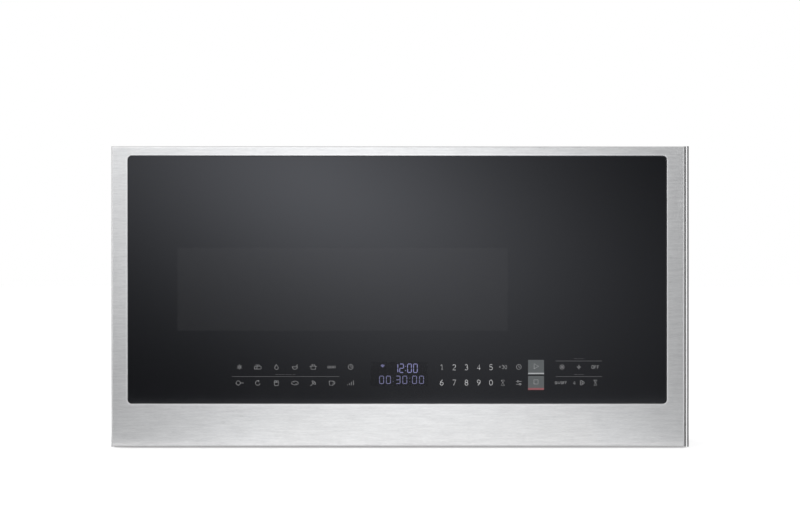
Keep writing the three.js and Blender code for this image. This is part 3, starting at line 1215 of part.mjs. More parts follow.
// Blower motor: a can on a foot that stands on the housing's bridge.
function blowerMotor() {
  const half = BLOWER_MOTOR_LENGTH / 2;
  const low = blowerZ - scrollDrop + SCROLL_SHEET * 2 + SEAT;
  const can = bar('x', BLOWER_MOTOR_RADIUS, -half + BLOWER_BELL, half - BLOWER_BELL, blowerY, blowerZ, 22);
  const ends = bar('x', BLOWER_NECK, -half, half, blowerY, blowerZ, 20);
  const foot = block(-half + 2 * BLOWER_BELL, half - 2 * BLOWER_BELL, blowerY - BLOWER_MOTOR_RADIUS * 0.8,
    blowerY + BLOWER_MOTOR_RADIUS * 0.8, low, blowerZ - BLOWER_MOTOR_RADIUS * 0.5);
  const bore = bar('x', BLOWER_SHAFT + RUNNING_GAP, -half - 1, half + 1, blowerY, blowerZ, 18);
  return cut(join(can, ends, foot), bore);
}

// Squirrel-cage wheel about local Z: a hub disc at the motor side, forward-curved blades and an end ring.
function blowerWheel() {
  const disc = bar('z', WHEEL_RADIUS, 0, WHEEL_DISC, 0, 0, 24);
  const hub = bar('z', BLOWER_HUB, 0, BLOWER_HUB_LENGTH, 0, 0, 18);
  const ringInner = WHEEL_RADIUS - BLADE_CHORD - BLADE_THICKNESS / 2;
  const ring = turned([
    [ringInner, WHEEL_LENGTH - WHEEL_RING], [WHEEL_RADIUS, WHEEL_LENGTH - WHEEL_RING],
    [WHEEL_RADIUS, WHEEL_LENGTH], [ringInner, WHEEL_LENGTH],
  ], 24);
  const blades = [];
  for (let i = 0; i < WHEEL_BLADES; i += 1) {
    blades.push(wheelBlade().rotate([0, 0, i * 360 / WHEEL_BLADES]));
  }
  const bore = bar('z', BLOWER_SHAFT + SEAT, -1, BLOWER_HUB_LENGTH + 1, 0, 0, 18);
  return cut(join(disc, hub, ring, ...blades), bore);
}

// A thin curved blade from the inner to the outer radius of the wheel, leaning forward.
function wheelBlade() {
  const steps = 2;
  const inner = WHEEL_RADIUS - BLADE_CHORD;
  const face = (offset) => Array.from({ length: steps + 1 }, (_, i) => {
    const t = i / steps;
    const r = inner + t * (BLADE_CHORD - BLADE_THICKNESS / 2);
    const lean = (BLADE_LEAN * t * t + offset) / r;
    return [r * Math.cos(lean), r * Math.sin(lean)];
  });
  const shape = outline([...face(-BLADE_THICKNESS / 2), ...face(BLADE_THICKNESS / 2).reverse()]);
  return pullZ(shape, WHEEL_DISC / 2, WHEEL_LENGTH - WHEEL_RING / 2);
}

function blowerShaft() {
  const reach = wheelInner + BLOWER_HUB_LENGTH - 1;
  return bar('x', BLOWER_SHAFT, -reach, reach, blowerY, blowerZ, 18);
}

// ---------------------------------------------------------------- Latch board and switches

const tipDepth = frameBack + HOOK_REACH; // hook tip, measured back from the door's face
const tipY = doorFace + tipDepth;
const latchBoardBack = skinFront + LATCH_BOARD_DEPTH;

// Plastic board behind the front frame. Each hook enters a channel and its nose drops behind a ledge.
function latchBoard() {
  const z0 = HOOK_LOW - LATCH_BOARD_MARGIN;
  const z1 = hookHigh + LATCH_BOARD_MARGIN + HOOK_ARM;
  let shape = block(latchX - BOARD_HALF_WIDTH, latchX + BOARD_HALF_WIDTH, skinFront, latchBoardBack, z0,
    z1);
  const half = LATCH_THICKNESS / 2 + LATCH_SLOT_CLEARANCE;
  const noseFront = tipY - HOOK_NOSE - LATCH_SLOT_CLEARANCE;
  for (const z of [HOOK_LOW, hookHigh]) {
    const channel = block(latchX - half, latchX + half, skinFront - 1, latchBoardBack + 1, z - SEAT,
      z + HOOK_ARM + LATCH_TRAVEL + LATCH_SLOT_CLEARANCE);
    const drop = block(latchX - half, latchX + half, noseFront, latchBoardBack + 1,
      z - HOOK_BITE - LATCH_SLOT_CLEARANCE, z + 1);
    const ramp = pullX(outline([
      [skinFront - 1, z + 1], [skinFront - 1, z - HOOK_BITE], [skinFront + 1, z - HOOK_BITE],
      [noseFront - 2, z - SEAT], [noseFront - 2, z + 1],
    ]), latchX - half, latchX + half);
    shape = cut(shape, channel, drop, ramp);
  }
  const middle = (HOOK_LOW + hookHigh + HOOK_ARM) / 2;
  const pocketHalf = (hookHigh - HOOK_LOW) / 2 - LATCH_BOARD_MARGIN - HOOK_ARM;
  const w = LATCH_BOARD_WALL;
  const pocket = block(latchX - BOARD_HALF_WIDTH - 1, latchX + BOARD_HALF_WIDTH - w, skinFront + w,
    latchBoardBack - w, middle - pocketHalf, middle + pocketHalf);
  const plungerHole = block(latchX - PLUNGER, latchX + PLUNGER, latchBoardBack - w - 1, latchBoardBack + 1,
    middle - PLUNGER, middle + PLUNGER);
  return cut(shape, pocket, plungerHole);
}

const plungerToHook = latchBoardBack - tipY - SEAT;

// Microswitch on the back of the latch board, its plunger facing a hook's tip.
function microswitch(z, plungerReach) {
  const y0 = latchBoardBack + SEAT;
  const x = latchX;
  const body = block(x - SWITCH_WIDTH / 2, x + SWITCH_WIDTH / 2, y0, y0 + SWITCH_DEPTH,
    z - SWITCH_LENGTH / 2, z + SWITCH_LENGTH / 2);
  const plunger = block(x - PLUNGER / 2, x + PLUNGER / 2, y0 - plungerReach, y0 + 1, z - PLUNGER / 2,
    z + PLUNGER / 2);
  const tabs = [-1, 1].map((side) => {
    const tabZ = z + side * SWITCH_LENGTH / 3;
    return block(x - TAB_WIDTH / 2, x + TAB_WIDTH / 2, y0 + SWITCH_DEPTH - 1, y0 + SWITCH_DEPTH + TAB_LENGTH,
      tabZ - TAB_THICKNESS / 2, tabZ + TAB_THICKNESS / 2);
  });
  return join(body, plunger, ...tabs);
}

// ---------------------------------------------------------------- Hinges

const upperPlateZ = DOOR_BOTTOM_GAP + frameTop + HINGE_SPACE;
const lowerPlateZ = DOOR_BOTTOM_GAP + frameMargin - HINGE_SPACE - HINGE_PLATE;

// Hinge leaf screwed behind the front frame, with a plate through its slot and the pin in the door.
function hinge(plateZ, inward) {
  const radius = HINGE_PIN + HINGE_NOSE;
  const plate = new THREE.Shape();
  const leafBack = skinFront + HINGE_LEAF;
  plate.moveTo(hingeX - radius, leafBack);
  plate.lineTo(hingeX - radius, hingeY);
  plate.absarc(hingeX, hingeY, radius, Math.PI, 1.75 * Math.PI);
  plate.lineTo(hingeX - radius + HINGE_LEAF_WIDTH, caseFront);
  plate.lineTo(hingeX - radius + HINGE_LEAF_WIDTH, leafBack);
  const edge = inward > 0 ? plateZ : plateZ + HINGE_PLATE;
  const leafEnd = edge + inward * HINGE_LEAF_HEIGHT;
  const leaf = block(hingeX - radius, hingeX - radius + HINGE_LEAF_WIDTH, skinFront, leafBack,
    Math.min(edge, leafEnd), Math.max(edge, leafEnd));
  const pinEnd = edge + inward * (HINGE_PLATE + HINGE_PIN_LENGTH);
  const pinStart = edge + inward;
  const pin = bar('z', HINGE_PIN, Math.min(pinStart, pinEnd), Math.max(pinStart, pinEnd), hingeX, hingeY);
  return join(pullZ(plate, plateZ, plateZ + HINGE_PLATE, 8), leaf, pin);
}

// Flanged bushing in the door frame's top or bottom wall. In the door's own measures.
function hingeBushing(wallZ, inward) {
  const outer = HINGE_PIN + RUNNING_GAP + BUSHING_WALL;
  const flangeEnd = wallZ - inward * (HINGE_SPACE - SEAT);
  const sleeveEnd = wallZ + inward * (HINGE_PIN_LENGTH - HINGE_SPACE);
  const face = wallZ - inward * SEAT;
  const upright = (radius, end) =>
    bar('z', radius, Math.min(face, end), Math.max(face, end), hingeX, hingeDepth);
  const flange = upright(outer + BUSHING_LIP, flangeEnd);
  const sleeve = upright(outer, sleeveEnd);
  const bore = bar('z', HINGE_PIN + RUNNING_GAP, wallZ - HINGE_PIN_LENGTH, wallZ + HINGE_PIN_LENGTH, hingeX,
    hingeDepth);
  return cut(join(flange, sleeve), bore);
}

// ---------------------------------------------------------------- Door
// From here on, y is the depth behind the door's face and z the height above its lower edge.

const glassLeft = doorLeft + DOOR_OPENING_LEFT;
const glassRight = panelRight - DOOR_OPENING_RIGHT;
const glassLow = DOOR_OPENING_BOTTOM;
const glassTop = doorHeight - DOOR_OPENING_TOP;

// Stainless outer panel: a folded tray with a chamfered opening for the glass.
function doorOuterPanel() {
  const tray = pan(doorLeft, panelRight, 0, doorHeight, 0, PANEL_RETURN, PANEL_BEND);
  const hollow = pan(doorLeft + PANEL_SHEET, panelRight - PANEL_SHEET, PANEL_SHEET, doorHeight - PANEL_SHEET,
    PANEL_SHEET, PANEL_RETURN + 1, PANEL_BEND - PANEL_SHEET);
  const c = GLASS_CLEARANCE;
  const hole = pullY(rectangle(glassLeft - c, glassRight + c, glassLow - c, glassTop + c, GLASS_CORNER),
    -1, PANEL_SHEET + 1);
  const wide = PANEL_CHAMFER + c;
  const chamfer = pullY(rectangle(glassLeft - wide, glassRight + wide, glassLow - wide, glassTop + wide,
    GLASS_CORNER + PANEL_CHAMFER), -PANEL_CHAMFER, PANEL_CHAMFER, { bevel: PANEL_CHAMFER * 0.999 });
  const besideHandle = block(trimLeft - SEAT, doorRight, panelHandleReturn, PANEL_RETURN + 1, -1,
    doorHeight + 1);
  return cut(tray, hollow, hole, chamfer, besideHandle);
}

function doorGlass() {
  return pullY(rectangle(glassLeft, glassRight, glassLow, glassTop, GLASS_CORNER), GLASS_RECESS, glassBack,
    { bevel: GLASS_ARRIS });
}

// Extruded aluminium channel down the door's right edge: front lip, finger pocket and rear flange.
function handleTrim() {
  const f = POCKET_FILLET;
  const shape = new THREE.Shape();
  shape.moveTo(doorRight - GRIP_WIDTH, 0);
  shape.lineTo(doorRight - GRIP_ROUND, 0);
  shape.absarc(doorRight - GRIP_ROUND, GRIP_ROUND, GRIP_ROUND, -Math.PI / 2, 0);
  shape.lineTo(doorRight, GRIP_DEPTH);
  shape.lineTo(pocketInner + f, GRIP_DEPTH);
  shape.quadraticCurveTo(pocketInner, GRIP_DEPTH, pocketInner, GRIP_DEPTH + f);
  shape.lineTo(pocketInner, pocketBack - f);
  shape.quadraticCurveTo(pocketInner, pocketBack, pocketInner + f, pocketBack);
  shape.lineTo(doorRight, pocketBack);
  shape.lineTo(doorRight, trimBack);
  shape.lineTo(trimLeft, trimBack);
  shape.lineTo(trimLeft, GRIP_DEPTH - POCKET_WALL);
  shape.lineTo(doorRight - GRIP_WIDTH, GRIP_DEPTH - POCKET_WALL);
  return pullZ(shape, 0, doorHeight, 4);
}

// Plug that closes one end of the finger pocket.
function handleCap(z0, z1) {
  const s = SEAT;
  const shape = new THREE.Shape();
  const f = POCKET_FILLET;
  shape.moveTo(pocketInner + f + s, GRIP_DEPTH + s);
  shape.lineTo(doorRight - s, GRIP_DEPTH + s);
  shape.lineTo(doorRight - s, pocketBack - s);
  shape.lineTo(pocketInner + f + s, pocketBack - s);
  shape.quadraticCurveTo(pocketInner + s, pocketBack - s, pocketInner + s, pocketBack - f - s);
  shape.lineTo(pocketInner + s, GRIP_DEPTH + f + s);
  shape.quadraticCurveTo(pocketInner + s, GRIP_DEPTH + s, pocketInner + f + s, GRIP_DEPTH + s);
  return pullZ(shape, z0, z1, 4);
}

// Plastic carrier behind the glass: a tray for the glass, openings for window and touch board, and ribs.
function doorCarrier() {
  const left = doorLeft + PANEL_SHEET + SEAT;
  const right = trimLeft - SEAT;
  const low = PANEL_SHEET + SEAT;
  const high = doorHeight - PANEL_SHEET - SEAT;
  const plateBack = glassBack + SEAT + CARRIER_FLOOR;
  const body = pan(left, right, low, high, PANEL_SHEET + SEAT, CARRIER_DEPTH, PANEL_BEND - PANEL_SHEET);
  const w = CARRIER_WALL;
  const hollow = block(left + w, right - w, plateBack, CARRIER_DEPTH + 1, low + w, high - w);
  const c = GLASS_CLEARANCE;
  const pocket = rectangle(glassLeft - c, glassRight + c, glassLow - c, glassTop + c, GLASS_CORNER);
  const glassPocket = pullY(pocket, 0, glassBack + SEAT);
  const m = CARRIER_WINDOW_MARGIN;
  const windowHole = block(windowLeft - m, windowRight + m, 0, CARRIER_DEPTH + 1, inDoor(WINDOW_SILL) - m,
    inDoor(WINDOW_SILL) + windowHeight + m);
  const boardHole = block(TOUCH_LEFT - SEAT, TOUCH_LEFT + TOUCH_WIDTH + SEAT, 0, plateBack + 1,
    inDoor(TOUCH_BASE) - SEAT, inDoor(TOUCH_BASE) + TOUCH_HEIGHT + SEAT);
  const ribs = [frameMargin, frameTop - w, inDoor(TOUCH_BASE) - w - 1].map((z) =>
    block(left + 1, right - 1, plateBack - 1, CARRIER_DEPTH, z, z + w));
  const upright = [windowRight + m + CARRIER_RIB_GAP, trimLeft - CARRIER_RIB_PITCH].map((x) =>
    block(x, x + w, plateBack - 1, CARRIER_DEPTH, frameMargin + 1, frameTop - 1));
  const shelf = block(TOUCH_LEFT - SHELF_LAP, TOUCH_LEFT + TOUCH_WIDTH + SHELF_LAP, plateBack - 1,
    CARRIER_DEPTH, inDoor(TOUCH_BASE) + TOUCH_HEIGHT + 1, inDoor(TOUCH_BASE) + TOUCH_HEIGHT + 1 + w);
  const boardRoom = block(TOUCH_LEFT - SEAT, TOUCH_LEFT + TOUCH_WIDTH + SEAT, plateBack, CARRIER_DEPTH + 1,
    inDoor(TOUCH_BASE) - SEAT, inDoor(TOUCH_BASE) + TOUCH_HEIGHT + SEAT);
  const ribbed = join(cut(body, hollow), ...ribs, ...upright, shelf);
  return cut(ribbed, glassPocket, windowHole, boardHole, boardRoom);
}

// The rectangle of the cavity's opening, grown outwards, as a block in the door's measures.
function aroundCavity(grow, y0, y1) {
  return block(cavityLeft - grow, cavityRight + grow, y0, y1, inDoor(CAVITY_FLOOR) - grow,
    inDoor(cavityTop) + grow);
}

// Inner steel frame: a drawn pan facing the cavity, the folded choke channel and the window opening.
function doorFrame() {
  const drawn = pan(frameLeft, frameRight, frameMargin, frameTop, frameBack, frameFront, FRAME_BEND);
  const hollow = pan(frameLeft + SHEET, frameRight - SHEET, frameMargin + SHEET, frameTop - SHEET,
    frameBack - SHEET, frameFront - 1, FRAME_BEND - SHEET);
  const besideTrim = block(trimLeft - SEAT, doorRight + 1, frameFront - 1, trimBack + SEAT, 0, doorHeight);
  const sideWall = block(trimLeft - SEAT - SHEET, trimLeft - SEAT, frameFront, frameBack - 0.5,
    frameMargin + 0.5, frameTop - 0.5);
  const outer = CHOKE_OVERLAP + CHOKE_WIDTH;
  const chokeFloor = frameBack - CHOKE_DEPTH;
  const walls = cut(aroundCavity(outer + SHEET, chokeFloor - SHEET, frameBack - 0.5),
    aroundCavity(CHOKE_OVERLAP - SHEET, chokeFloor - SHEET - 1, frameBack + 1));
  const groove = cut(aroundCavity(outer, chokeFloor, frameBack + 1),
    aroundCavity(CHOKE_OVERLAP, chokeFloor - 1, frameBack + 2));
  const sill = inDoor(WINDOW_SILL);
  const windowHole = block(windowLeft, windowRight, frameBack - 2 * SHEET, frameBack + 1, sill,
    sill + windowHeight);
  const slots = [HOOK_LOW, hookHigh].map((z) => latchSlot(inDoor(z), frameBack - 2 * SHEET, frameBack + 1));
  const bushingHole = HINGE_PIN + RUNNING_GAP + BUSHING_WALL + SEAT;
  const bores = [
    bar('z', bushingHole, frameMargin - 1, frameMargin + SHEET + 1, hingeX, hingeDepth),
    bar('z', bushingHole, frameTop - SHEET - 1, frameTop + 1, hingeX, hingeDepth),
  ];
  const tabZ = springFoot - SEAT;
  const tab = block(latchX - TAB_HALF, latchX + TAB_HALF, springDepth - SPRING_RADIUS - 2, frameBack - 0.5,
    tabZ - SPRING_TAB, tabZ);
  const chokeHole = aroundCavity(outer, chokeFloor, frameBack + 1);
  const pans = cut(join(cut(drawn, hollow, besideTrim), sideWall), chokeHole);
  const centre = aroundCavity(CHOKE_OVERLAP, frameBack - SHEET, frameBack);
  return cut(join(pans, cut(walls, groove), centre, tab), windowHole, ...slots, ...bores);
}

// Black plastic ring snapped over the choke channel.
function chokeCover() {
  const face = frameBack + SEAT;
  const ring = cut(aroundCavity(CHOKE_OVERLAP + CHOKE_WIDTH + 1, face, face + CHOKE_COVER),
    aroundCavity(CHOKE_OVERLAP - 1, face - 1, face + CHOKE_COVER + 1));
  const middle = CHOKE_OVERLAP + CHOKE_WIDTH / 2;
  const rib = cut(aroundCavity(middle + CHOKE_RIB / 2, frameBack - CHOKE_DEPTH / 2, face + 0.5),
    aroundCavity(middle - CHOKE_RIB / 2, frameBack - CHOKE_DEPTH, face + 1));
  return join(ring, rib);
}

// Perforated screen over the window. Its fine holes are a surface pattern here.
function windowScreen() {
  const back = frameBack - SHEET - SEAT;
  const sill = inDoor(WINDOW_SILL);
  return block(windowLeft - SCREEN_LAP, windowRight + SCREEN_LAP, back - SCREEN_THICKNESS, back,
    sill - SCREEN_LAP, sill + windowHeight + SCREEN_LAP);
}

// Clear pane inside the choke ring, on the cavity side.
function innerWindow() {
  return pullY(rectangle(cavityLeft - CHOKE_OVERLAP + 3, cavityRight + CHOKE_OVERLAP - 3,
    inDoor(CAVITY_FLOOR) + 1, inDoor(cavityTop) - 1, 4), frameBack + SEAT, frameBack + SEAT + PANE_THICKNESS,
  { curveSegments: 3 });
}

const touchFace = glassBack + SEAT;
function touchBoard() {
  const low = inDoor(TOUCH_BASE);
  const board = block(TOUCH_LEFT, TOUCH_LEFT + TOUCH_WIDTH, touchFace, touchFace + BOARD_THICKNESS, low,
    low + TOUCH_HEIGHT);
  const back = touchFace + BOARD_THICKNESS / 2;
  const middle = low + TOUCH_HEIGHT / 2;
  const chips = [-2, -1, 1, 2].map((place) => {
    const x = DISPLAY_X + Math.sign(place) * DISPLAY_WIDTH / 2 + place * TOUCH_CHIP_PITCH;
    return block(x - CHIP_WIDTH / 2, x + CHIP_WIDTH / 2, back, back + CHIP_HEIGHT, middle - CHIP_WIDTH / 2,
      middle + CHIP_WIDTH / 2);
  });
  const socket = block(TOUCH_LEFT + PART_GAP, TOUCH_LEFT + PART_GAP + SOCKET_LENGTH, back,
    back + SOCKET_HEIGHT, low + PART_GAP, low + PART_GAP + SOCKET_WIDTH);
  return join(board, ...chips, socket);
}

// Segment display module behind the touch board.
function displayModule() {
  const face = touchFace + BOARD_THICKNESS + SEAT;
  const z = inDoor(DISPLAY_Z);
  const outer = rectangle(DISPLAY_X - DISPLAY_WIDTH / 2, DISPLAY_X + DISPLAY_WIDTH / 2,
    z - DISPLAY_HEIGHT / 2, z + DISPLAY_HEIGHT / 2, 1);
  return pullY(outer, face, face + DISPLAY_DEPTH, { curveSegments: 2 });
}

// ---------------------------------------------------------------- Door latch

const springDepth = latchBack - LATCH_BAR / 2;
const springTop = inDoor(LATCH_FOOT) - SEAT;
const springFoot = springTop - SPRING_LENGTH;

// Sliding bar with two hooks that reach back through the frame. Each nose has a ramp and a catch.
function doorLatch() {
  const half = LATCH_THICKNESS / 2;
  const rod = block(latchX - half, latchX + half, latchBack - LATCH_BAR, latchBack, inDoor(LATCH_FOOT),
    inDoor(hookHigh) + HOOK_ARM + LATCH_HEAD);
  const hooks = [HOOK_LOW, hookHigh].map((armZ) => {
    const z = inDoor(armZ);
    const shape = new THREE.Shape();
    shape.moveTo(latchBack - 2, z);
    shape.lineTo(tipDepth - HOOK_NOSE, z);
    shape.lineTo(tipDepth - HOOK_NOSE * 0.8, z - HOOK_BITE);
    shape.lineTo(tipDepth - HOOK_NOSE * 0.5, z - HOOK_BITE);
    shape.quadraticCurveTo(tipDepth, z - HOOK_BITE * 0.6, tipDepth, z + HOOK_ARM * 0.4);
    shape.quadraticCurveTo(tipDepth, z + HOOK_ARM, tipDepth - HOOK_NOSE, z + HOOK_ARM);
    shape.lineTo(latchBack - 2, z + HOOK_ARM);
    return pullX(shape, latchX - half, latchX + half, 4);
  });
  return join(rod, ...hooks);
}

// Coil spring between the latch's foot and the tab on the frame, closed by flat end coils.
class Helix extends THREE.Curve {
  getPoint(t, target = new THREE.Vector3()) {
    const angle = 2 * Math.PI * SPRING_TURNS * t;
    const x = latchX + SPRING_RADIUS * Math.cos(angle);
    const y = springDepth + SPRING_RADIUS * Math.sin(angle);
    return target.set(x, y, springFoot + SPRING_WIRE + t * (SPRING_LENGTH - 2 * SPRING_WIRE));
  }
}

function latchSpring() {
  const wire = new THREE.Shape();
  wire.absarc(0, 0, SPRING_WIRE, 0, 2 * Math.PI);
  return solid(new THREE.ExtrudeGeometry(wire, {
    steps: SPRING_TURNS * 9,
    curveSegments: 2,
    extrudePath: new Helix(),
    bevelEnabled: false,
  }));
}

// ---------------------------------------------------------------- Assembly

const microwave = new THREE.Group();
const cabinet = new THREE.Group();
const door = new THREE.Group();
const turntable = new THREE.Group();
microwave.add(cabinet, door, turntable);

cabinet.add(
  piece('outer_cover', outerCover(), blackPaint),
  piece('back_plate', backPlate(), zincSteel),
  piece('base_plate', basePlate(), blackPaint),
  piece('bay_floor', bayFloor(), zincSteel),
  piece('front_frame', frontFrame(), blackPaint),
  piece('cord_bushing', cordBushing(), blackPlastic),
  piece('grease_filter_left', greaseFilter(-FILTER_X), aluminium),
  piece('grease_filter_right', greaseFilter(FILTER_X), aluminium),
  piece('cooktop_lamp_left', cooktopLamp(-LAMP_X), frostedLens),
  piece('cooktop_lamp_right', cooktopLamp(LAMP_X), frostedLens),
  piece('vent_grille', ventGrille(), blackPlastic),
  piece('charcoal_filter', charcoalFilter(), charcoal),
  piece('oven_cavity', ovenCavity(), enamel),
  piece('cavity_lamp', cavityLamp(), whitePlastic),
  piece('waveguide', waveguide(), zincSteel),
  piece('waveguide_cover', waveguideCover(), mica),
  piece('magnetron', magnetron(), aluminium),
  piece('transformer_core', transformerCore(), laminations),
  piece('primary_coil', transformerCoil(0, 0.44), copper),
  piece('secondary_coil', transformerCoil(0.5, 1), copper),
  piece('capacitor', capacitor(), aluminium),
  piece('power_board', powerBoard(), circuitBoard),
  piece('cooling_fan_housing', coolingFanHousing(), blackPlastic),
  piece('cooling_fan_motor', coolingFanMotor(), laminations),
  piece('blower_housing', blowerHousing(), zincSteel),
  piece('blower_motor', blowerMotor(), zincSteel),
  piece('blower_shaft', blowerShaft(), springSteel),
  piece('latch_board', latchBoard(), whitePlastic),
  piece('primary_switch', microswitch(HOOK_LOW + HOOK_ARM / 2, plungerToHook), blackPlastic),
  piece('secondary_switch', microswitch(hookHigh + HOOK_ARM / 2, plungerToHook), blackPlastic),
  piece('monitor_switch', microswitch((HOOK_LOW + hookHigh + HOOK_ARM) / 2, PLUNGER), blackPlastic),
  piece('upper_hinge', hinge(upperPlateZ, -1), zincSteel),
  piece('lower_hinge', hinge(lowerPlateZ, 1), zincSteel),
);

const fanBladeMesh = piece('cooling_fan_blade', coolingFanBlade(), blackPlastic);
fanBladeMesh.rotation.x = Math.PI / 2;
fanBladeMesh.position.set(fanX, fanHubBack, FAN_Z);
cabinet.add(fanBladeMesh);

for (const [name, side] of [['blower_wheel_left', -1], ['blower_wheel_right', 1]]) {
  const wheel = piece(name, blowerWheel(), blackPlastic);
  wheel.rotation.y = side * Math.PI / 2;
  wheel.position.set(side * wheelInner, blowerY, blowerZ);
  cabinet.add(wheel);
}

turntable.position.set(cavityX, cavityY, dishFloor);
turntable.add(
  piece('turntable_motor', turntableMotor(), zincSteel),
  piece('drive_shaft', driveShaft(), springSteel),
  piece('turntable_coupler', turntableCoupler(), whitePlastic),
  piece('glass_tray', glassTray(), turntableGlass),
  piece('roller_ring', rollerRing(), whitePlastic),
);
for (let i = 0; i < ROLLERS; i += 1) {
  const spoke = new THREE.Group();
  spoke.rotation.z = i * 2 * Math.PI / ROLLERS;
  const wheel = piece(`roller_${i + 1}`, roller(), whitePlastic);
  wheel.rotation.y = Math.PI / 2;
  wheel.position.set(rollerTrack, 0, rollerAxis);
  spoke.add(wheel);
  turntable.add(spoke);
}

door.position.set(0, doorFace, DOOR_BOTTOM_GAP);
door.add(
  piece('door_outer_panel', doorOuterPanel(), stainless),
  piece('door_glass', doorGlass(), darkGlass),
  piece('handle_trim', handleTrim(), handleAluminium),
  piece('handle_cap_top', handleCap(doorHeight - HANDLE_CAP, doorHeight), blackPlastic),
  piece('handle_cap_bottom', handleCap(0, HANDLE_CAP), blackPlastic),
  piece('door_carrier', doorCarrier(), blackPlastic),
  piece('door_frame', doorFrame(), blackPaint),
  piece('window_screen', windowScreen(), blackPaint),
  piece('inner_window', innerWindow(), clearPane),
  piece('choke_cover', chokeCover(), blackPlastic),
  piece('touch_board', touchBoard(), circuitBoard),
  piece('display_module', displayModule(), blackPlastic),
  piece('upper_hinge_bushing', hingeBushing(frameTop, -1), whitePlastic),
  piece('lower_hinge_bushing', hingeBushing(frameMargin, 1), whitePlastic),
  piece('door_latch', doorLatch(), whitePlastic),
  piece('latch_spring', latchSpring(), springSteel),
);

export default microwave;
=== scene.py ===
# %% [markdown]
# # An over the range microwave, dressed in Blender
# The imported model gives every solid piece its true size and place. This file is the lesson that follows
# it: how to give each piece the surface that it has in a kitchen, and how to add the small things that
# are too fine for the solids, such as the print on the glass, the lit display and the screws.
# Everything is in metres. X runs to the right, Y to the back and Z up, and the floor is at Z = 0.

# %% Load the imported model
import json
import math

import bpy
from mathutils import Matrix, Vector

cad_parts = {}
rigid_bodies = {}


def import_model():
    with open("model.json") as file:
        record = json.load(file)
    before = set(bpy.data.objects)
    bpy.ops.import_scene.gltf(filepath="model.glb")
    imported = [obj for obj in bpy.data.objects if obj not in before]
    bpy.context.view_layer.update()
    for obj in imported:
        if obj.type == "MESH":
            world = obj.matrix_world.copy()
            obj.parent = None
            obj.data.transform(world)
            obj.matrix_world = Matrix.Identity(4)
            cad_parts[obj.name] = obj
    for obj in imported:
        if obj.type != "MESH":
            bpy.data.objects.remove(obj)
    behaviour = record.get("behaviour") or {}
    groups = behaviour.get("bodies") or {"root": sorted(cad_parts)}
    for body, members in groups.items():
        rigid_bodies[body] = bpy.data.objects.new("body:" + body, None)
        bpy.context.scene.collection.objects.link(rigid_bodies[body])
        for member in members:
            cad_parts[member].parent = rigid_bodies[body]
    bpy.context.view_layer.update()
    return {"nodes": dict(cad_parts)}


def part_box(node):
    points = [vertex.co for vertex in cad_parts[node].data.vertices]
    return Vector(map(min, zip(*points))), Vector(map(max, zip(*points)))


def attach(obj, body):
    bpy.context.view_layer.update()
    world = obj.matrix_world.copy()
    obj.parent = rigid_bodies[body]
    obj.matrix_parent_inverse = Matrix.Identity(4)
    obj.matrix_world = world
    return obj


for leftover in list(bpy.data.objects):
    bpy.data.objects.remove(leftover)
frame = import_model()
nodes = frame["nodes"]


def deselect():
    """Operators act on all that is selected, and loading leaves the nodes selected."""
    for thing in bpy.context.selected_objects:
        thing.select_set(False)


deselect()

# %% [markdown]
# ## The camera
# The oven is seen dead square from the front, with hardly any perspective, as a long lens gives it from
# far away. A camera six metres off with a lens of about 205 mm does that. It could also be an
# orthographic camera, but a real lens keeps the slight perspective of the inside and of the other views.

# %% Camera
PICTURE_WIDTH = 1.0511  # metres of the door's plane that fill the picture
DISTANCE, HEIGHT = 6.0, 0.2402
SENSOR = 36  # millimetres, as the lens is
DOOR_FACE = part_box("door_outer_panel")[0].y
bpy.ops.object.camera_add(location=(0, DOOR_FACE - DISTANCE, HEIGHT), rotation=(math.pi / 2, 0, 0))
camera = bpy.context.object
camera.data.sensor_width = SENSOR
camera.data.lens = SENSOR * DISTANCE / PICTURE_WIDTH
camera.data.clip_end = 60
bpy.context.scene.camera = camera
bpy.context.scene.view_settings.view_transform = "Standard"
print("lens:", round(camera.data.lens, 1), "mm")

# %% [markdown]
# ## Building node trees
# Materials, the sky and shared effects are all trees of nodes. These helpers add one node, fill its inputs
# and hand back its result, so that each line says what is worked out from what.

# %% Helpers for node trees
def feed(node, inputs):
    """Fills inputs, by name or number: outputs are linked, values set, and a colour is three numbers."""
    for name, value in dict(inputs).items():
        socket = node.inputs[name]
        if isinstance(value, bpy.types.NodeSocket):
            node.id_data.links.new(value, socket)
        else:
            socket.default_value = (*value, 1) if socket.type == "RGBA" else value


def new_node(owner, kind, inputs=(), **settings):
    """Adds a node to a material, a world or a group, and gives its settings and inputs."""
    node = getattr(owner, "node_tree", owner).nodes.new("ShaderNode" + kind)
    for name, value in settings.items():
        setattr(node, name, value)
    feed(node, inputs)
    return node


def maths(owner, operation, *values, **settings):
    """The result of one Math node."""
    return new_node(owner, "Math", enumerate(values), operation=operation, **settings).outputs[0]


def vector_maths(owner, operation, *values, result="Vector"):
    """The result of one Vector Math node."""
    return new_node(owner, "VectorMath", enumerate(values), operation=operation).outputs[result]


def ramp(owner, value, start, end, low=0.0, high=1.0, **settings):
    """Runs from low to high while a value runs from start to end, and stays level beyond them."""
    inputs = enumerate((value, start, end, low, high))
    return new_node(owner, "MapRange", inputs, **settings).outputs[0]


def noise_at(owner, point, scale=1.0, detail=2.0, roughness=0.5):
    """Soft noise at a point."""
    inputs = {"Vector": point, "Scale": scale, "Detail": detail, "Roughness": roughness}
    return new_node(owner, "TexNoise", inputs).outputs["Fac"]


def mixed(material, share, first, second, **settings):
    """A colour between two."""
    inputs = {0: share, 6: first, 7: second}
    return new_node(material, "Mix", inputs, data_type="RGBA", **settings).outputs[2]


def shader_of(material):
    """The shader of a material."""
    return material.node_tree.nodes["Principled BSDF"]


def new_material(name):
    """A new material and its shader."""
    material = bpy.data.materials.new(name)
    material.use_nodes = True
    return material, shader_of(material)


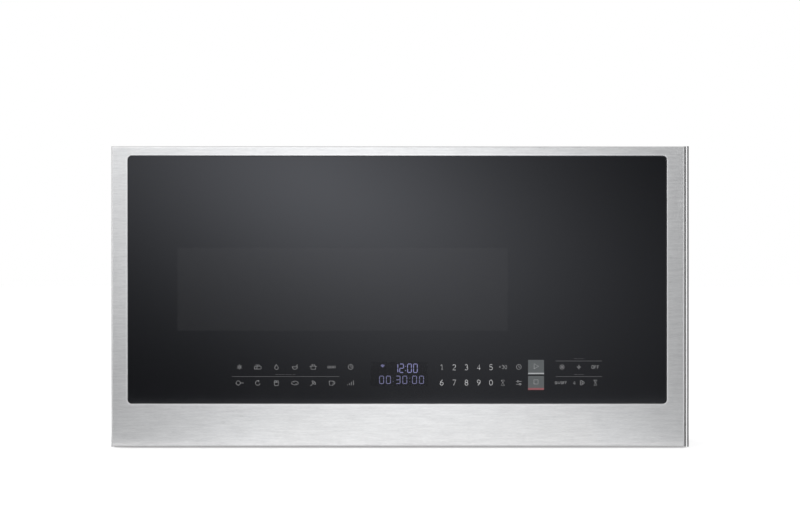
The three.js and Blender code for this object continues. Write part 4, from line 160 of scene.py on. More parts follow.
def point_on(material):
    """The point of the piece that is being shaded, in metres."""
    node = material.node_tree.nodes.get("Texture Coordinate") or new_node(material, "TexCoord")
    return node.outputs["Object"]


def coordinates(material):
    """X, Y and Z of that point, each by itself."""
    return new_node(material, "SeparateXYZ", {0: point_on(material)}).outputs


# %% [markdown]
# ## The studio
# A metal front is a mirror of the room, so the room is built first. The floor is pale and matt and takes
# the soft shadow. The world is white for the camera and for reflections, and weaker as a lamp. Three
# large soft lamps light the object, and reflections don't see them. What the steel and the glass mirror
# is a row of cards, as photographers set before shiny goods: a bright one with a soft rim, two more
# above it, a darker one at each side, and pale and darker ones on the floor. The cards are only seen in
# reflections, so they don't stand in any other view.

# %% World and floor
def shown_to_eye_and_mirror(owner):
    """1 for rays from the camera, from reflections and through glass, and 0 for plain light."""
    ray = new_node(owner, "LightPath").outputs
    seen = maths(owner, "MAXIMUM", ray["Is Camera Ray"], ray["Is Glossy Ray"])
    return maths(owner, "MAXIMUM", seen, ray["Is Transmission Ray"])


SKY_AS_LAMP, SKY_AS_SEEN = 0.62, 1.0
FLOOR_AS_LAMP, FLOOR_AS_SEEN = 0.3, 0.5
world = bpy.data.worlds.new("studio")
bpy.context.scene.world = world
world.use_nodes = True
sky_level = ramp(world, shown_to_eye_and_mirror(world), 0, 1, SKY_AS_LAMP, SKY_AS_SEEN)
feed(world.node_tree.nodes["Background"], {"Color": (1, 1, 1), "Strength": sky_level})

# The floor lies a little under the object's own level, so that the two never flicker. From below the
# paper isn't there, and it lights the underside as a light table would.
bpy.ops.mesh.primitive_plane_add(size=90, location=(0, 0, -0.0003))
floor = bpy.context.object
floor.name = "studio_floor"
paper, sheet = new_material("studio_paper")
seen_from_below = new_node(paper, "NewGeometry").outputs["Backfacing"]
feed(sheet, {
    "Base Color": (0.82, 0.82, 0.82), "Roughness": 0.9, "Specular IOR Level": 0.1,
    "Emission Color": (1, 1, 1),
    "Emission Strength": ramp(paper, shown_to_eye_and_mirror(paper), 0, 1, FLOOR_AS_LAMP, FLOOR_AS_SEEN),
    "Alpha": maths(paper, "SUBTRACT", 1.0, seen_from_below)})
floor.data.materials.append(paper)


# %% Lamps and cards
LAMPS_AIM, NEARLY_WHITE = Vector((0, 0, 0.2)), (0.985, 0.995, 1.01)


def soft_lamp(name, place, width, height, watts):
    """A rectangular soft lamp at a place, turned towards the object. Reflections don't see it."""
    bpy.ops.object.light_add(type="AREA", location=place)
    lamp = bpy.context.object
    lamp.name = name
    lamp.rotation_euler = (LAMPS_AIM - Vector(place)).to_track_quat("-Z", "Y").to_euler()
    lamp.data.shape = "RECTANGLE"
    lamp.data.size = width
    lamp.data.size_y = height
    lamp.data.energy = watts
    lamp.visible_glossy = False


def studio_card(name, centre, facing, width, height, low, gain=0.0, middle=(0, 0, 0), spread=(1, 1, 1),
                turn=0.0, fade=2.0):
    """A card that only reflections see: one level of light, and a soft blob of more light on it.

    The blob lies round a middle, reaches as far as its spread, and a higher fade gives it a harder rim.
    """
    bpy.ops.mesh.primitive_plane_add(size=1)
    card = bpy.context.object
    card.name = name
    card.scale = (width, height, 1)
    card.location = centre
    card.rotation_euler = Vector(facing).to_track_quat("Z", "Y").to_euler()
    bpy.ops.object.transform_apply(location=True, rotation=True, scale=True)
    for ray in ("camera", "diffuse", "shadow", "transmission"):
        setattr(card, "visible_" + ray, False)
    shade, shader = new_material(name + "_shade")
    shade.node_tree.nodes.remove(shader)
    blob = new_node(shade, "Mapping", {"Vector": point_on(shade), "Location": middle,
                                       "Rotation": (0, turn, 0), "Scale": spread}, vector_type="TEXTURE")
    far = vector_maths(shade, "LENGTH", blob.outputs[0], result="Value")
    fall = maths(shade, "MULTIPLY", maths(shade, "POWER", far, fade), -1.0)
    level = maths(shade, "MULTIPLY_ADD", maths(shade, "EXPONENT", fall), gain, low)
    lit = new_node(shade, "Emission", {"Color": NEARLY_WHITE, "Strength": level})
    feed(shade.node_tree.nodes["Material Output"], {"Surface": lit.outputs["Emission"]})
    card.data.materials.append(shade)


for lamp in (("key_lamp", (-0.9, -2.4, 1.9), 1.6, 1.2, 34), ("fill_lamp", (1.8, -1.6, 1.1), 1.2, 1.2, 12),
             ("top_lamp", (0, 0.5, 2.4), 2.0, 1.6, 22)):
    soft_lamp(*lamp)

WALL = -2.11  # the upright cards stand in this plane, just under two metres before the door
LOW = 0.003  # and the flat ones lie at this height
TO_DOOR, UP = (0, 1, 0), (0, 0, 1)
# Each card: name, centre, facing, width, height, level, then its blob's gain, middle, spread, turn, fade
for card in (
        ("soft_box", (-0.02, WALL, 0.225), TO_DOOR, 1.05, 0.47, 0.085, 1.852, (-0.1475, WALL, 0.3871),
         (0.4352, 1, 0.225), 0.41, 1.636),
        ("upper_card", (0, WALL, 0.63), TO_DOOR, 1.8, 0.34, 0.0, 1.59, (-0.22, WALL, 0.63), (0.65, 1, 9),
         0.0, 4.0),
        ("high_card", (0, WALL, 1.2), TO_DOOR, 1.8, 0.8, 0.0, 2.3, (-0.35, WALL, 1.2), (0.9, 1, 9)),
        ("left_flag", (-0.895, WALL, 0.225), TO_DOOR, 0.7, 0.47, 0.25),
        ("right_flag", (0.855, WALL, 0.225), TO_DOOR, 0.7, 0.47, 0.6),
        ("floor_reflector", (0, -1.1, LOW), UP, 1.5, 1.4, 0.16, 1.02, (0.08, -1.1, LOW), (0.28, 9, 1)),
        ("near_left_flag", (-0.47, -0.31, LOW), UP, 0.6, 0.17, 0.5, 0.7, (-0.17, -0.31, LOW), (0.13, 9, 1)),
        ("near_right_flag", (0.53, -0.31, LOW), UP, 0.54, 0.17, 0.72, 0.5, (0.26, -0.31, LOW),
         (0.09, 9, 1))):
    studio_card(*card)


# %% [markdown]
# ## Effects that many finishes share
# Each effect is a node group, built once, with named inputs, so that steel, paint and plastic can all use
# it with their own values. A group only puts out numbers, masks and heights. The shader itself stays in
# the material, where an exporter can read it.

# %% Helper that starts a group
def effect_group(name, outputs, **inputs):
    """An empty node group that takes a point and these inputs, with their usual values."""
    group = bpy.data.node_groups.new(name, "ShaderNodeTree")
    group.interface.new_socket("Vector", in_out="INPUT", socket_type="NodeSocketVector")
    for socket, value in inputs.items():
        kind = "NodeSocketVector" if isinstance(value, tuple) else "NodeSocketFloat"
        group.interface.new_socket(socket, in_out="INPUT", socket_type=kind).default_value = value
    for socket in outputs:
        group.interface.new_socket(socket, in_out="OUTPUT", socket_type="NodeSocketFloat")
    return group, group.nodes.new("NodeGroupInput").outputs, group.nodes.new("NodeGroupOutput")


def blend(group, share, first, second):
    """A number between two."""
    return new_node(group, "Mix", {0: share, 2: first, 3: second}, data_type="FLOAT").outputs[0]


# %% Brushed grain
# Long thin scratches are noise squeezed across the grain and stretched along it. A fine layer gives the
# scratches, and a coarse one gives the faint bands that a brushing belt leaves.
brushed, given, result = effect_group("brushed_grain", ["Tone", "Height"], Fine=(60, 2200, 2200),
                                      Broad=(9, 160, 160), Speckle=0.25)
fine_at = vector_maths(brushed, "MULTIPLY", given["Vector"], given["Fine"])
broad_at = vector_maths(brushed, "MULTIPLY", given["Vector"], given["Broad"])
fine_lines, broad_lines = noise_at(brushed, fine_at), noise_at(brushed, broad_at, detail=1.0)
feed(result, {"Tone": blend(brushed, given["Speckle"], broad_lines, fine_lines), "Height": fine_lines})

# %% Pebbled skin
# Powder coat and moulded plastic share this: soft bumps of one size, with a little colour change.
pebbled, given, result = effect_group("pebbled_skin", ["Tone", "Height"], Size=900.0, Patches=14.0)
pebbles = noise_at(pebbled, given["Vector"], given["Size"], 2.0, 0.45)
patches = noise_at(pebbled, given["Vector"], given["Patches"], 4.0, 0.6)
feed(result, {"Tone": blend(pebbled, 0.35, patches, pebbles), "Height": pebbles})

# %% Dust and worn edges
# Dust lies where a surface faces up. A worn edge is where the normal, rounded over a small radius,
# leans away from the true one.
aged, given, result = effect_group("dust_and_edges", ["Dust", "Edge"], Radius=0.0012)
facing = new_node(aged, "NewGeometry").outputs
upward = new_node(aged, "SeparateXYZ", {0: facing["Normal"]}).outputs["Z"]
flecks = noise_at(aged, given["Vector"], 38.0, 5.0, 0.65)
rounded = new_node(aged, "Bevel", {"Radius": given["Radius"]}, samples=4).outputs["Normal"]
lean = vector_maths(aged, "DOT_PRODUCT", rounded, facing["True Normal"], result="Value")
feed(result, {"Dust": maths(aged, "MULTIPLY", upward, flecks, use_clamp=True),
              "Edge": maths(aged, "MULTIPLY", ramp(aged, lean, 0.995, 0.86), flecks, use_clamp=True)})

# %% Rows of round holes
# A perforated sheet: the position is folded into one cell, and a hole is where the distance to the
# cell's middle is small.
holes, given, result = effect_group("rows_of_holes", ["Hole"], Pitch=0.0018, Radius=0.3)
per_metre = maths(holes, "DIVIDE", 1.0, given["Pitch"])
cells = new_node(holes, "VectorMath", {0: given["Vector"], "Scale": per_metre}, operation="SCALE")
centred = vector_maths(holes, "SUBTRACT", vector_maths(holes, "FRACTION", cells.outputs[0]), (0.5, 0.5, 0.5))
far = vector_maths(holes, "LENGTH", vector_maths(holes, "MULTIPLY", centred, (1, 0, 1)), result="Value")
feed(result, {"Hole": maths(holes, "LESS_THAN", far, given["Radius"])})
print("effects:", [g.name for g in bpy.data.node_groups])


# %% [markdown]
# ## Finishes
# A finish starts from two colours and mixes them by a pattern, drives the roughness by the same pattern,
# and bumps the surface by its height. One small helper wires that, because every finish here needs it.
# What makes steel steel and plastic plastic is in the values: the pattern's size and contrast, the gloss.

# %% Helper that makes a finish
DUST = (0.42, 0.40, 0.37)  # its colour


def finish(name, dark, light, rough, effect, heights=0.0, metallic=0.0, dust=0.0, edge=None,
           span=(0.3, 0.7), coat=0.0, **sockets):
    """A material whose colour runs from dark to light, and whose roughness runs over two values."""
    material, shader = new_material(name)
    point = point_on(material)
    pattern = new_node(material, "Group", {"Vector": point, **sockets}, node_tree=effect).outputs
    tone = ramp(material, pattern["Tone"], *span)
    colour = mixed(material, tone, dark, light)
    if dust or edge:
        age = new_node(material, "Group", {"Vector": point}, node_tree=aged).outputs
    if edge:
        colour = mixed(material, age["Edge"], colour, edge)
    if dust:
        colour = mixed(material, maths(material, "MULTIPLY", age["Dust"], dust), colour, DUST)
    feed(shader, {"Metallic": metallic, "Coat Weight": coat, "Base Color": colour,
                  "Roughness": ramp(material, tone, 0, 1, *rough)})
    if heights:
        bump = new_node(material, "Bump", {"Height": pattern["Height"], "Distance": heights})
        feed(shader, {"Normal": bump.outputs["Normal"]})
    return material


# %% Metals
GRAIN_X = {"Fine": (170, 2600, 2600), "Broad": (40, 420, 420)}
GRAIN_Z = {"Fine": (2600, 2600, 170), "Broad": (420, 420, 40)}
door_steel = finish("brushed_door_steel", (0.575, 0.575, 0.577), (0.78, 0.78, 0.78), (0.27, 0.33), brushed,
                    heights=0.00001, metallic=1.0, span=(0.26, 0.74), Speckle=0.6, **GRAIN_X)
handle_metal = finish("drawn_handle_aluminium", (0.60, 0.60, 0.61), (0.74, 0.74, 0.75), (0.22, 0.30),
                      brushed, heights=0.00001, metallic=1.0, **GRAIN_Z)
# Brushing makes a metal mirror more sharply along the grain than across it.
for grained, quarter_turn in ((door_steel, 0.25), (handle_metal, 0.0)):
    feed(shader_of(grained), {"Anisotropic": 0.75, "Anisotropic Rotation": quarter_turn})
feed(shader_of(handle_metal), {"Specular IOR Level": 0.2})
zinc = finish("galvanised_sheet", (0.36, 0.37, 0.38), (0.52, 0.53, 0.53), (0.32, 0.52), pebbled,
              heights=0.00002, metallic=1.0, dust=0.3, Size=160.0, Patches=45.0)
mill_aluminium = finish("mill_aluminium", (0.56, 0.57, 0.58), (0.72, 0.73, 0.74), (0.26, 0.38), brushed,
                        heights=0.00001, metallic=1.0, **GRAIN_X)
plated_steel = finish("bright_plated_steel", (0.56, 0.57, 0.58), (0.70, 0.70, 0.71), (0.16, 0.30), pebbled,
                      heights=0.000006, metallic=1.0, Size=500.0)

# %% [markdown]
# The handle's lip gets two painted marks side by side: a pale line, a painted highlight on its rounded
# edge, and beyond it a dark grey band, painted shade where the pocket behind the lip lies in shadow. The
# door panel gets a painted highlight round the glass, and painted shade along its bent edges, which turn
# away from the light. Each is a mask by place.

# %% Painted highlights and shade on the metals
def lay_painted_light_and_shade(material, mask, colour, matt):
    """Lays painted light or shade over a finish where the mask is 1, and takes some of the metal's shine."""
    base, metal = (shader_of(material).inputs[name] for name in ("Base Color", "Metallic"))
    shine = maths(material, "MULTIPLY_ADD", mask, -matt, 1.0)
    if metal.links:
        shine = maths(material, "MULTIPLY", metal.links[0].from_socket, shine)
    feed(shader_of(material), {"Base Color": mixed(material, mask, base.links[0].from_socket, colour),
                               "Metallic": shine})


# Each mask grows from 0 to 1 between two places on one axis, in metres.
for metal, axis, start, end, colour, matt in (
        (handle_metal, "X", 0.3752, 0.3754, (0.68, 0.68, 0.685), 0.9),  # the lip's pale line: painted highlight on its rounded edge
        (handle_metal, "X", 0.37725, 0.37755, (0.08, 0.08, 0.083), 0.95),  # the dark band beyond it: painted shade of the pocket
        (handle_metal, "Y", -0.2078, -0.2070, (0.12, 0.12, 0.123), 0.6),  # painted shade on all behind its face
        (door_steel, "X", 0.3718, 0.3724, (0.46, 0.46, 0.465), 0.85),  # painted shade along the panel's right edge
        (door_steel, "X", -0.3772, -0.3778, (0.52, 0.52, 0.525), 0.7),  # painted shade along its left edge
        (door_steel, "Z", 0.0046, 0.0026, (0.31, 0.31, 0.315), 0.7)):  # painted shade along its bottom edge
    lay_painted_light_and_shade(metal, ramp(metal, coordinates(metal)[axis], start, end), colour, matt)

# %% Painted highlight round the glass
# The distance to a rectangle with round corners is the length of what is left of the way from its middle
# when the straight part of each side is taken off.
RIM_INNER, RIM_OUTER = 0.0006, 0.0032  # metres from the opening
OPENING = ((-0.3575, 0.059), (0.3502, 0.384), 0.005)  # low corner, high corner and corner radius
(x0, z0), (x1, z1), corner = OPENING
from_middle = vector_maths(door_steel, "SUBTRACT", point_on(door_steel), ((x0 + x1) / 2, 0, (z0 + z1) / 2))
straight = ((x1 - x0) / 2 - corner, 0, (z1 - z0) / 2 - corner)
beyond = vector_maths(door_steel, "SUBTRACT", vector_maths(door_steel, "ABSOLUTE", from_middle), straight)
beyond = vector_maths(door_steel, "MULTIPLY", vector_maths(door_steel, "MAXIMUM", beyond), (1, 0, 1))
gap = vector_maths(door_steel, "LENGTH", beyond, result="Value")
# A brighter line round the opening: a painted highlight where the panel's edge turns in at the glass.
lay_painted_light_and_shade(door_steel, ramp(door_steel, gap, corner + RIM_OUTER, corner + RIM_INNER), (0.84, 0.84, 0.845), 0.0)

# %% Paints
case_paint = finish("black_powder_coat", (0.018, 0.018, 0.020), (0.034, 0.034, 0.037), (0.42, 0.58),
                    pebbled, heights=0.00005, dust=0.12, edge=(0.09, 0.09, 0.09), Size=1100.0)
cavity_enamel = finish("grey_cavity_enamel", (0.37, 0.36, 0.34), (0.42, 0.41, 0.39), (0.22, 0.34), pebbled,
                       heights=0.00002, coat=0.3, Size=420.0, Patches=9.0)

# %% Plastics and the rest
black_plastic = finish("grained_black_plastic", (0.014, 0.014, 0.015), (0.026, 0.026, 0.027), (0.38, 0.55),
                       pebbled, heights=0.00003, edge=(0.05, 0.05, 0.05), Size=1600.0)
white_plastic = finish("natural_white_plastic", (0.62, 0.61, 0.57), (0.74, 0.73, 0.69), (0.34, 0.46),
                       pebbled, heights=0.00002, Size=900.0)
mica_sheet = finish("flaky_mica", (0.30, 0.24, 0.16), (0.46, 0.39, 0.27), (0.30, 0.62), pebbled,
                    heights=0.00003, Size=260.0, Patches=70.0)
charcoal_pad = finish("charcoal_grains", (0.006, 0.006, 0.006), (0.035, 0.035, 0.036), (0.55, 0.9), pebbled,
                      heights=0.0004, Size=620.0)
print("finishes:", len(bpy.data.materials))


# %% [markdown]
# Some pieces are striped by what they are made of: a transformer's core is a stack of thin sheets, and
# its coils are wire laid side by side. A wave texture across the stack gives the colour and the height.

# %% Striped metals
def striped(name, dark, light, rough, direction, stripes, heights):
    """A metal finish of thin parallel stripes across X, Y or Z."""
    material, shader = new_material(name)
    inputs = {"Vector": point_on(material), "Scale": stripes, "Distortion": 0.4, "Detail": 2.0}
    wave = new_node(material, "TexWave", inputs, bands_direction=direction).outputs["Fac"]
    bump = new_node(material, "Bump", {"Height": wave, "Distance": heights})
    feed(shader, {"Metallic": 1.0, "Base Color": mixed(material, wave, dark, light),
                  "Roughness": ramp(material, wave, 0, 1, *rough), "Normal": bump.outputs["Normal"]})
    return material


laminations = striped("stacked_laminations", (0.06, 0.06, 0.065), (0.16, 0.16, 0.17), (0.6, 0.4), "Y", 320.0,
                      0.0002)
copper_wire = striped("enamelled_copper_wire", (0.22, 0.07, 0.025), (0.55, 0.24, 0.11), (0.5, 0.28), "Z",
                      260.0, 0.0004)
spring_wire = striped("drawn_spring_wire", (0.40, 0.41, 0.42), (0.56, 0.57, 0.58), (0.34, 0.2), "Z", 900.0,
                      0.00002)


# %% [markdown]
# ## See-through finishes
# The door glass is black print behind a smoked pane, left clear where the window and the display are.
# Real glass bends light, but a flat dark pane shows nothing of that, so the clear places are made by
# Alpha, which lets lamps reach what is behind and exports well. The tray is a thick clear pressing, so
# it gets true glass.

# %% Door glass
def between(material, value, low, high, soft):
    """A mask that is 1 between two coordinates, with soft ends."""
    rise = ramp(material, value, low - soft, low + soft, interpolation_type="SMOOTHSTEP")
    fall = ramp(material, value, high + soft, high - soft, interpolation_type="SMOOTHSTEP")
    return maths(material, "MULTIPLY", rise, fall)


def rectangle(material, u, v, u_ends, v_ends, soft):
    """A mask that is 1 inside a rectangle, between two ends along each of two coordinates."""
    return maths(material, "MULTIPLY", between(material, u, *u_ends, soft),
                  between(material, v, *v_ends, soft))


# Each clear place: its two ends along X and along Z, and how soft its rim is.
WINDOW = (-0.2925, 0.1415), (0.1545, 0.2635), 0.0009
DISPLAY = (-0.0382, 0.0361), (0.0825, 0.1128), 0.0006
WINDOW_CLEAR, DISPLAY_CLEAR = 0.08, 0.3
door_glass, shader = new_material("smoked_door_glass")
at = coordinates(door_glass)
in_window = rectangle(door_glass, at["X"], at["Z"], *WINDOW)
in_display = rectangle(door_glass, at["X"], at["Z"], *DISPLAY)
clear = maths(door_glass, "ADD", maths(door_glass, "MULTIPLY", in_window, WINDOW_CLEAR),
               maths(door_glass, "MULTIPLY", in_display, DISPLAY_CLEAR))
smears = noise_at(door_glass, point_on(door_glass), 9.0, 4.0, 0.6)
feed(shader, {
    "IOR": 1.56,
    "Specular Tint": (0.885, 0.905, 0.985),  # the pane mirrors a little blue
    "Roughness": ramp(door_glass, smears, 0, 1, 0.03, 0.075),
    "Base Color": mixed(door_glass, in_window, (0.0016, 0.0017, 0.0022), (0.0085, 0.0087, 0.0095)),
    "Alpha": maths(door_glass, "SUBTRACT", 1.0, clear)})


# %% Other glass
def clear_glass(name, colour, rough, alpha, size):
    """A clear or frosted finish that shows what is behind it."""
    material = finish(name, colour, tuple(min(1, c * 1.08) for c in colour), rough, pebbled,
                      heights=0.00001, Size=size)
    feed(shader_of(material), {"Alpha": alpha, "IOR": 1.5})
    return material


tray_glass = finish("pressed_tray_glass", (0.86, 0.93, 0.91), (0.93, 0.97, 0.96), (0.03, 0.08), pebbled,
                    heights=0.00003, Size=120.0)
feed(shader_of(tray_glass), {"Transmission Weight": 1.0, "IOR": 1.5})
pane_film = clear_glass("clear_inner_film", (0.10, 0.10, 0.11), (0.05, 0.12), 0.35, 40.0)
lamp_lens = clear_glass("frosted_lamp_lens", (0.80, 0.80, 0.76), (0.25, 0.4), 0.82, 700.0)

# %% Perforated screen
# The screen keeps the microwaves in. It is black enamelled sheet full of holes, some one and a half
# millimetres across, and the holes are cut by Alpha.
screen_sheet = finish("perforated_screen", (0.05, 0.05, 0.052), (0.075, 0.075, 0.078), (0.4, 0.55), pebbled,
                      Size=300.0)
punched = new_node(screen_sheet, "Group",
                   {"Vector": point_on(screen_sheet), "Pitch": 0.0022, "Radius": 0.33}, node_tree=holes)
feed(shader_of(screen_sheet), {"Alpha": maths(screen_sheet, "SUBTRACT", 1.0, punched.outputs["Hole"])})

# %% [markdown]
# A grease filter is a pack of expanded aluminium mesh in a folded frame. Meshing it for real would take
# a hundred thousand faces for something seen from below, so the diamonds are a pattern: the rows of
# holes again, turned to lie flat and by an eighth of a turn, and only inside the frame. The openings are
# painted dark, as painted shade for the shaded inside of the filter seen through them.

# %% Mesh of the grease filters
filter_mesh = finish("expanded_filter_mesh", (0.50, 0.51, 0.52), (0.70, 0.71, 0.72), (0.28, 0.42), brushed,
                     heights=0.00001, metallic=1.0, **GRAIN_X)
MESH = (0.060, 0.312), (0.011, 0.133), 0.0006  # ends to either side of the middle and along Y, rim
at = coordinates(filter_mesh)
turned = new_node(filter_mesh, "Mapping",
                  {"Vector": point_on(filter_mesh), "Rotation": (math.pi / 2, math.pi / 4, 0)})
diamonds = new_node(filter_mesh, "Group", {"Vector": turned.outputs[0], "Pitch": 0.0048, "Radius": 0.37},
                    node_tree=holes)
inside_frame = rectangle(filter_mesh, maths(filter_mesh, "ABSOLUTE", at["X"]), at["Y"], *MESH)
# The diamond openings get a dark colour: painted shade, where the inside of the filter lies in shadow.
lay_painted_light_and_shade(filter_mesh, maths(filter_mesh, "MULTIPLY", inside_frame, diamonds.outputs["Hole"]),
      (0.035, 0.035, 0.037), 0.8)

# %% Circuit boards
# Solder mask is green lacquer over copper tracks. The tracks show as slightly lighter lines: a brick
# pattern gives straight runs with turns, which is near enough under so many parts.
board = finish("green_circuit_board", (0.012, 0.075, 0.03), (0.02, 0.11, 0.045), (0.24, 0.36), pebbled,
               coat=0.4, Size=300.0, Patches=60.0)
turned = new_node(board, "Mapping", {"Vector": point_on(board), "Rotation": (math.pi / 2, 0, 0)})
tracks = new_node(board, "TexBrick", {
    "Vector": turned.outputs[0], "Scale": 210.0, "Mortar Size": 0.035, "Color1": (0, 0, 0),
    "Color2": (0, 0, 0), "Mortar": (0.02, 0.06, 0.02)}, offset=0.3)
lacquer = shader_of(board).inputs["Base Color"].links[0].from_socket
feed(shader_of(board), {"Base Color": mixed(board, 1.0, lacquer, tracks.outputs["Color"], blend_type="ADD")})
print("see-through and board finishes ready")

# %% [markdown]
# ## Dressing the solid pieces
# Each node of the model keeps its shape. It only gets its finish, and a stack of modifiers that softens
# its edges: the loose triangles are welded, flat neighbours joined to one face, sharp edges rounded by a
# fraction of a millimetre, and the shading weighted so that flats stay flat. Real edges always catch a
# line of light, and without it metal looks like paper.

# %% Which finish each node gets
# Each line: the finish, how far edges are rounded in metres, and the nodes.
FINISHES = [
    (door_steel, 0.00025, "door_outer_panel"),
    (door_glass, 0.0003, "door_glass"),
    (handle_metal, 0.0003, "handle_trim"),
    (black_plastic, 0.0003, "handle_cap_top handle_cap_bottom door_carrier choke_cover display_module "
     "vent_grille cooling_fan_housing blower_housing cord_bushing monitor_switch"),
    (white_plastic, 0.0003, "upper_hinge_bushing lower_hinge_bushing turntable_coupler roller_ring "
     "roller_1 roller_2 roller_3 latch_board door_latch cooling_fan_blade blower_wheel_left "
     "blower_wheel_right primary_switch secondary_switch"),
    (case_paint, 0.0005, "outer_cover"),
    (zinc, 0.0004, "back_plate base_plate bay_floor cooling_fan_motor blower_motor turntable_motor"),
    (cavity_enamel, 0.0004, "front_frame oven_cavity door_frame"),
    (filter_mesh, 0.0003, "grease_filter_left grease_filter_right"),
    (mill_aluminium, 0.0003, "waveguide capacitor magnetron"),
    (plated_steel, 0.0002, "upper_hinge lower_hinge drive_shaft blower_shaft"),
    (spring_wire, 0.0, "latch_spring"),
    (laminations, 0.0003, "transformer_core"),
    (copper_wire, 0.0004, "primary_coil secondary_coil"),
    (board, 0.0002, "power_board touch_board"),
    (charcoal_pad, 0.0, "charcoal_filter"),
    (mica_sheet, 0.0, "waveguide_cover"),
    (tray_glass, 0.0, "glass_tray"),
    (pane_film, 0.0, "inner_window"),
    (lamp_lens, 0.0003, "cooktop_lamp_left cooktop_lamp_right cavity_lamp"),
    (screen_sheet, 0.0, "window_screen"),
]
dressed = {}
for material, rounding, names in FINISHES:
    for name in names.split():
        dressed[name] = material, rounding
print("nodes without a finish:", sorted(set(nodes) - set(dressed)))

# %% Modifiers and finishes on the nodes
SAME_POINT = 0.00001  # metres
SAME_FLAT, SHARP_EDGE = math.radians(0.6), math.radians(38)
for name, (material, rounding) in dressed.items():
    node = nodes[name]
    node.data.materials.clear()
    node.data.materials.append(material)
    if rounding == 0.0:
        continue
    weld = node.modifiers.new("weld", "WELD")
    weld.merge_threshold = SAME_POINT
    flats = node.modifiers.new("join_flats", "DECIMATE")
    flats.decimate_type = "DISSOLVE"
    flats.angle_limit = SAME_FLAT
    soft = node.modifiers.new("soften_edges", "BEVEL")
    soft.width = rounding
    soft.segments = 2
    soft.limit_method = "ANGLE"
    soft.angle_limit = SHARP_EDGE
    shade = node.modifiers.new("even_shading", "WEIGHTED_NORMAL")
    shade.keep_sharp = False
print("dressed:", len(dressed))


# %% [markdown]
# ## The print on the glass
# The marks sit on the pane as thin ink: digits, a few short words and small plain pictures. Their places
# are columns and rows counted on a straight picture of the front, and turned into metres.

# %% Ink
def ink(name, colour, glow=0.0):
    """Printed ink: matt, with a faint grain, or lit from behind."""
    material = finish(name, tuple(c * 0.86 for c in colour), colour, (0.5, 0.7), pebbled, Size=2600.0)
    feed(shader_of(material), {"Emission Color": colour, "Emission Strength": glow})
    return material


digit_ink = ink("light_grey_ink", (0.66, 0.66, 0.67))
pale_ink = ink("pale_grey_ink", (0.40, 0.40, 0.41))
dim_ink = ink("dim_grey_ink", (0.085, 0.085, 0.09))
INK_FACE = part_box("door_glass")[0].y - 0.00003  # just before the front of the pane
STEP = 0.0013139  # metres from one column or row to the next
MIDDLE_COLUMN, LOWEST_ROW = 400.1, 446.8  # of the door
DOOR_FOOT = 0.002  # height of the door's lower edge


def across(column):
    """Metres across for a column of the picture."""
    return (column - MIDDLE_COLUMN) * STEP


def upwards(row):
    """Metres above the floor for a row of the picture."""
    return (LOWEST_ROW - row) * STEP + DOOR_FOOT


def joined(parts, name, material, body="door"):
    """Joins pieces into one, gives it its finish and lets it ride with a body."""
    deselect()
    for part in parts:
        part.select_set(True)
    bpy.context.view_layer.objects.active = parts[0]
    if len(parts) > 1:
        bpy.ops.object.join()
    made = bpy.context.object
    made.name = name
    bpy.ops.object.transform_apply(location=True, rotation=True, scale=True)
    made.data.materials.clear()
    made.data.materials.append(material)
    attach(made, body)
    deselect()
    return made


# %% [markdown]
# Digits and pictures are drawn as a signmaker would, with strokes of one width. Each is a list of
# polylines, turned into thin ribbons of ink, and a circle or an arc is a polyline too. A font would do
# for the digits, but its strokes are too heavy for such fine print. Digits stand in a box four wide and
# seven high, and pictures in one of ten by six.

# %% Strokes
def ring(x, z, radius, start=0, end=360, steps=14, tall=1.0):
    """Points along an arc, in degrees."""
    turns = [math.radians(start + (end - start) * i / steps) for i in range(steps + 1)]
    return [(x + radius * math.cos(a), z + tall * radius * math.sin(a)) for a in turns]


def box_round(x, z, half_width, half_height):
    """A closed rectangle round a middle."""
    corners = ((-1, -1), (1, -1), (1, 1), (-1, 1), (-1, -1))
    return [(x + u * half_width, z + v * half_height) for u, v in corners]


def wavy(x, low, high):
    """An upright wavy line, as steam is drawn."""
    return [(x + 0.45 * math.sin(6.28 * i / 8), low + (high - low) * i / 8) for i in range(9)]


def star(radius, rays):
    """Rays out from the middle."""
    turns = [math.radians(360 * i / rays + 90) for i in range(rays)]
    return [[(inner * radius * math.cos(a), inner * radius * math.sin(a)) for inner in (0.5, 1.0)]
            for a in turns]


CHARACTERS = {
    "0": [ring(0, 0, 2.0, tall=1.75)],
    "1": [[(-1.2, 2.2), (0.4, 3.5), (0.4, -3.5)]],
    "2": [ring(0, 1.6, 1.9, 165, -35) + [(-2.0, -3.5), (2.1, -3.5)]],
    "3": [ring(-0.2, 1.75, 1.75, 150, -80) + ring(-0.2, -1.65, 1.9, 80, -150)],
    "4": [[(1.1, -3.5), (1.1, 3.5), (-2.2, -1.5), (2.3, -1.5)]],
    "5": [[(1.7, 3.5), (-1.4, 3.5), (-1.7, 0.4)] + ring(-0.2, -1.3, 2.1, 125, -150)],
    "6": [ring(0, -1.4, 2.05), [(-2.0, -1.1), (-1.4, 1.2), (1.0, 3.5)]],
    "7": [[(-2.0, 3.5), (2.0, 3.5), (-0.7, -3.5)]],
    "8": [ring(0, 1.8, 1.7), ring(0, -1.65, 1.9)],
    "9": [ring(0, 1.4, 2.05), [(2.0, 1.1), (1.4, -1.2), (-1.0, -3.5)]],
    "O": [ring(0, 0, 2.3, tall=1.5)],
    "N": [[(-1.8, -3.5), (-1.8, 3.5), (1.8, -3.5), (1.8, 3.5)]],
    "F": [[(-1.6, -3.5), (-1.6, 3.5), (1.8, 3.5)], [(-1.6, 0.2), (1.2, 0.2)]],
    "/": [[(-1.5, -3.8), (1.5, 3.8)]],
    "+": [[(-1.8, 0), (1.8, 0)], [(0, -1.8), (0, 1.8)]],
}
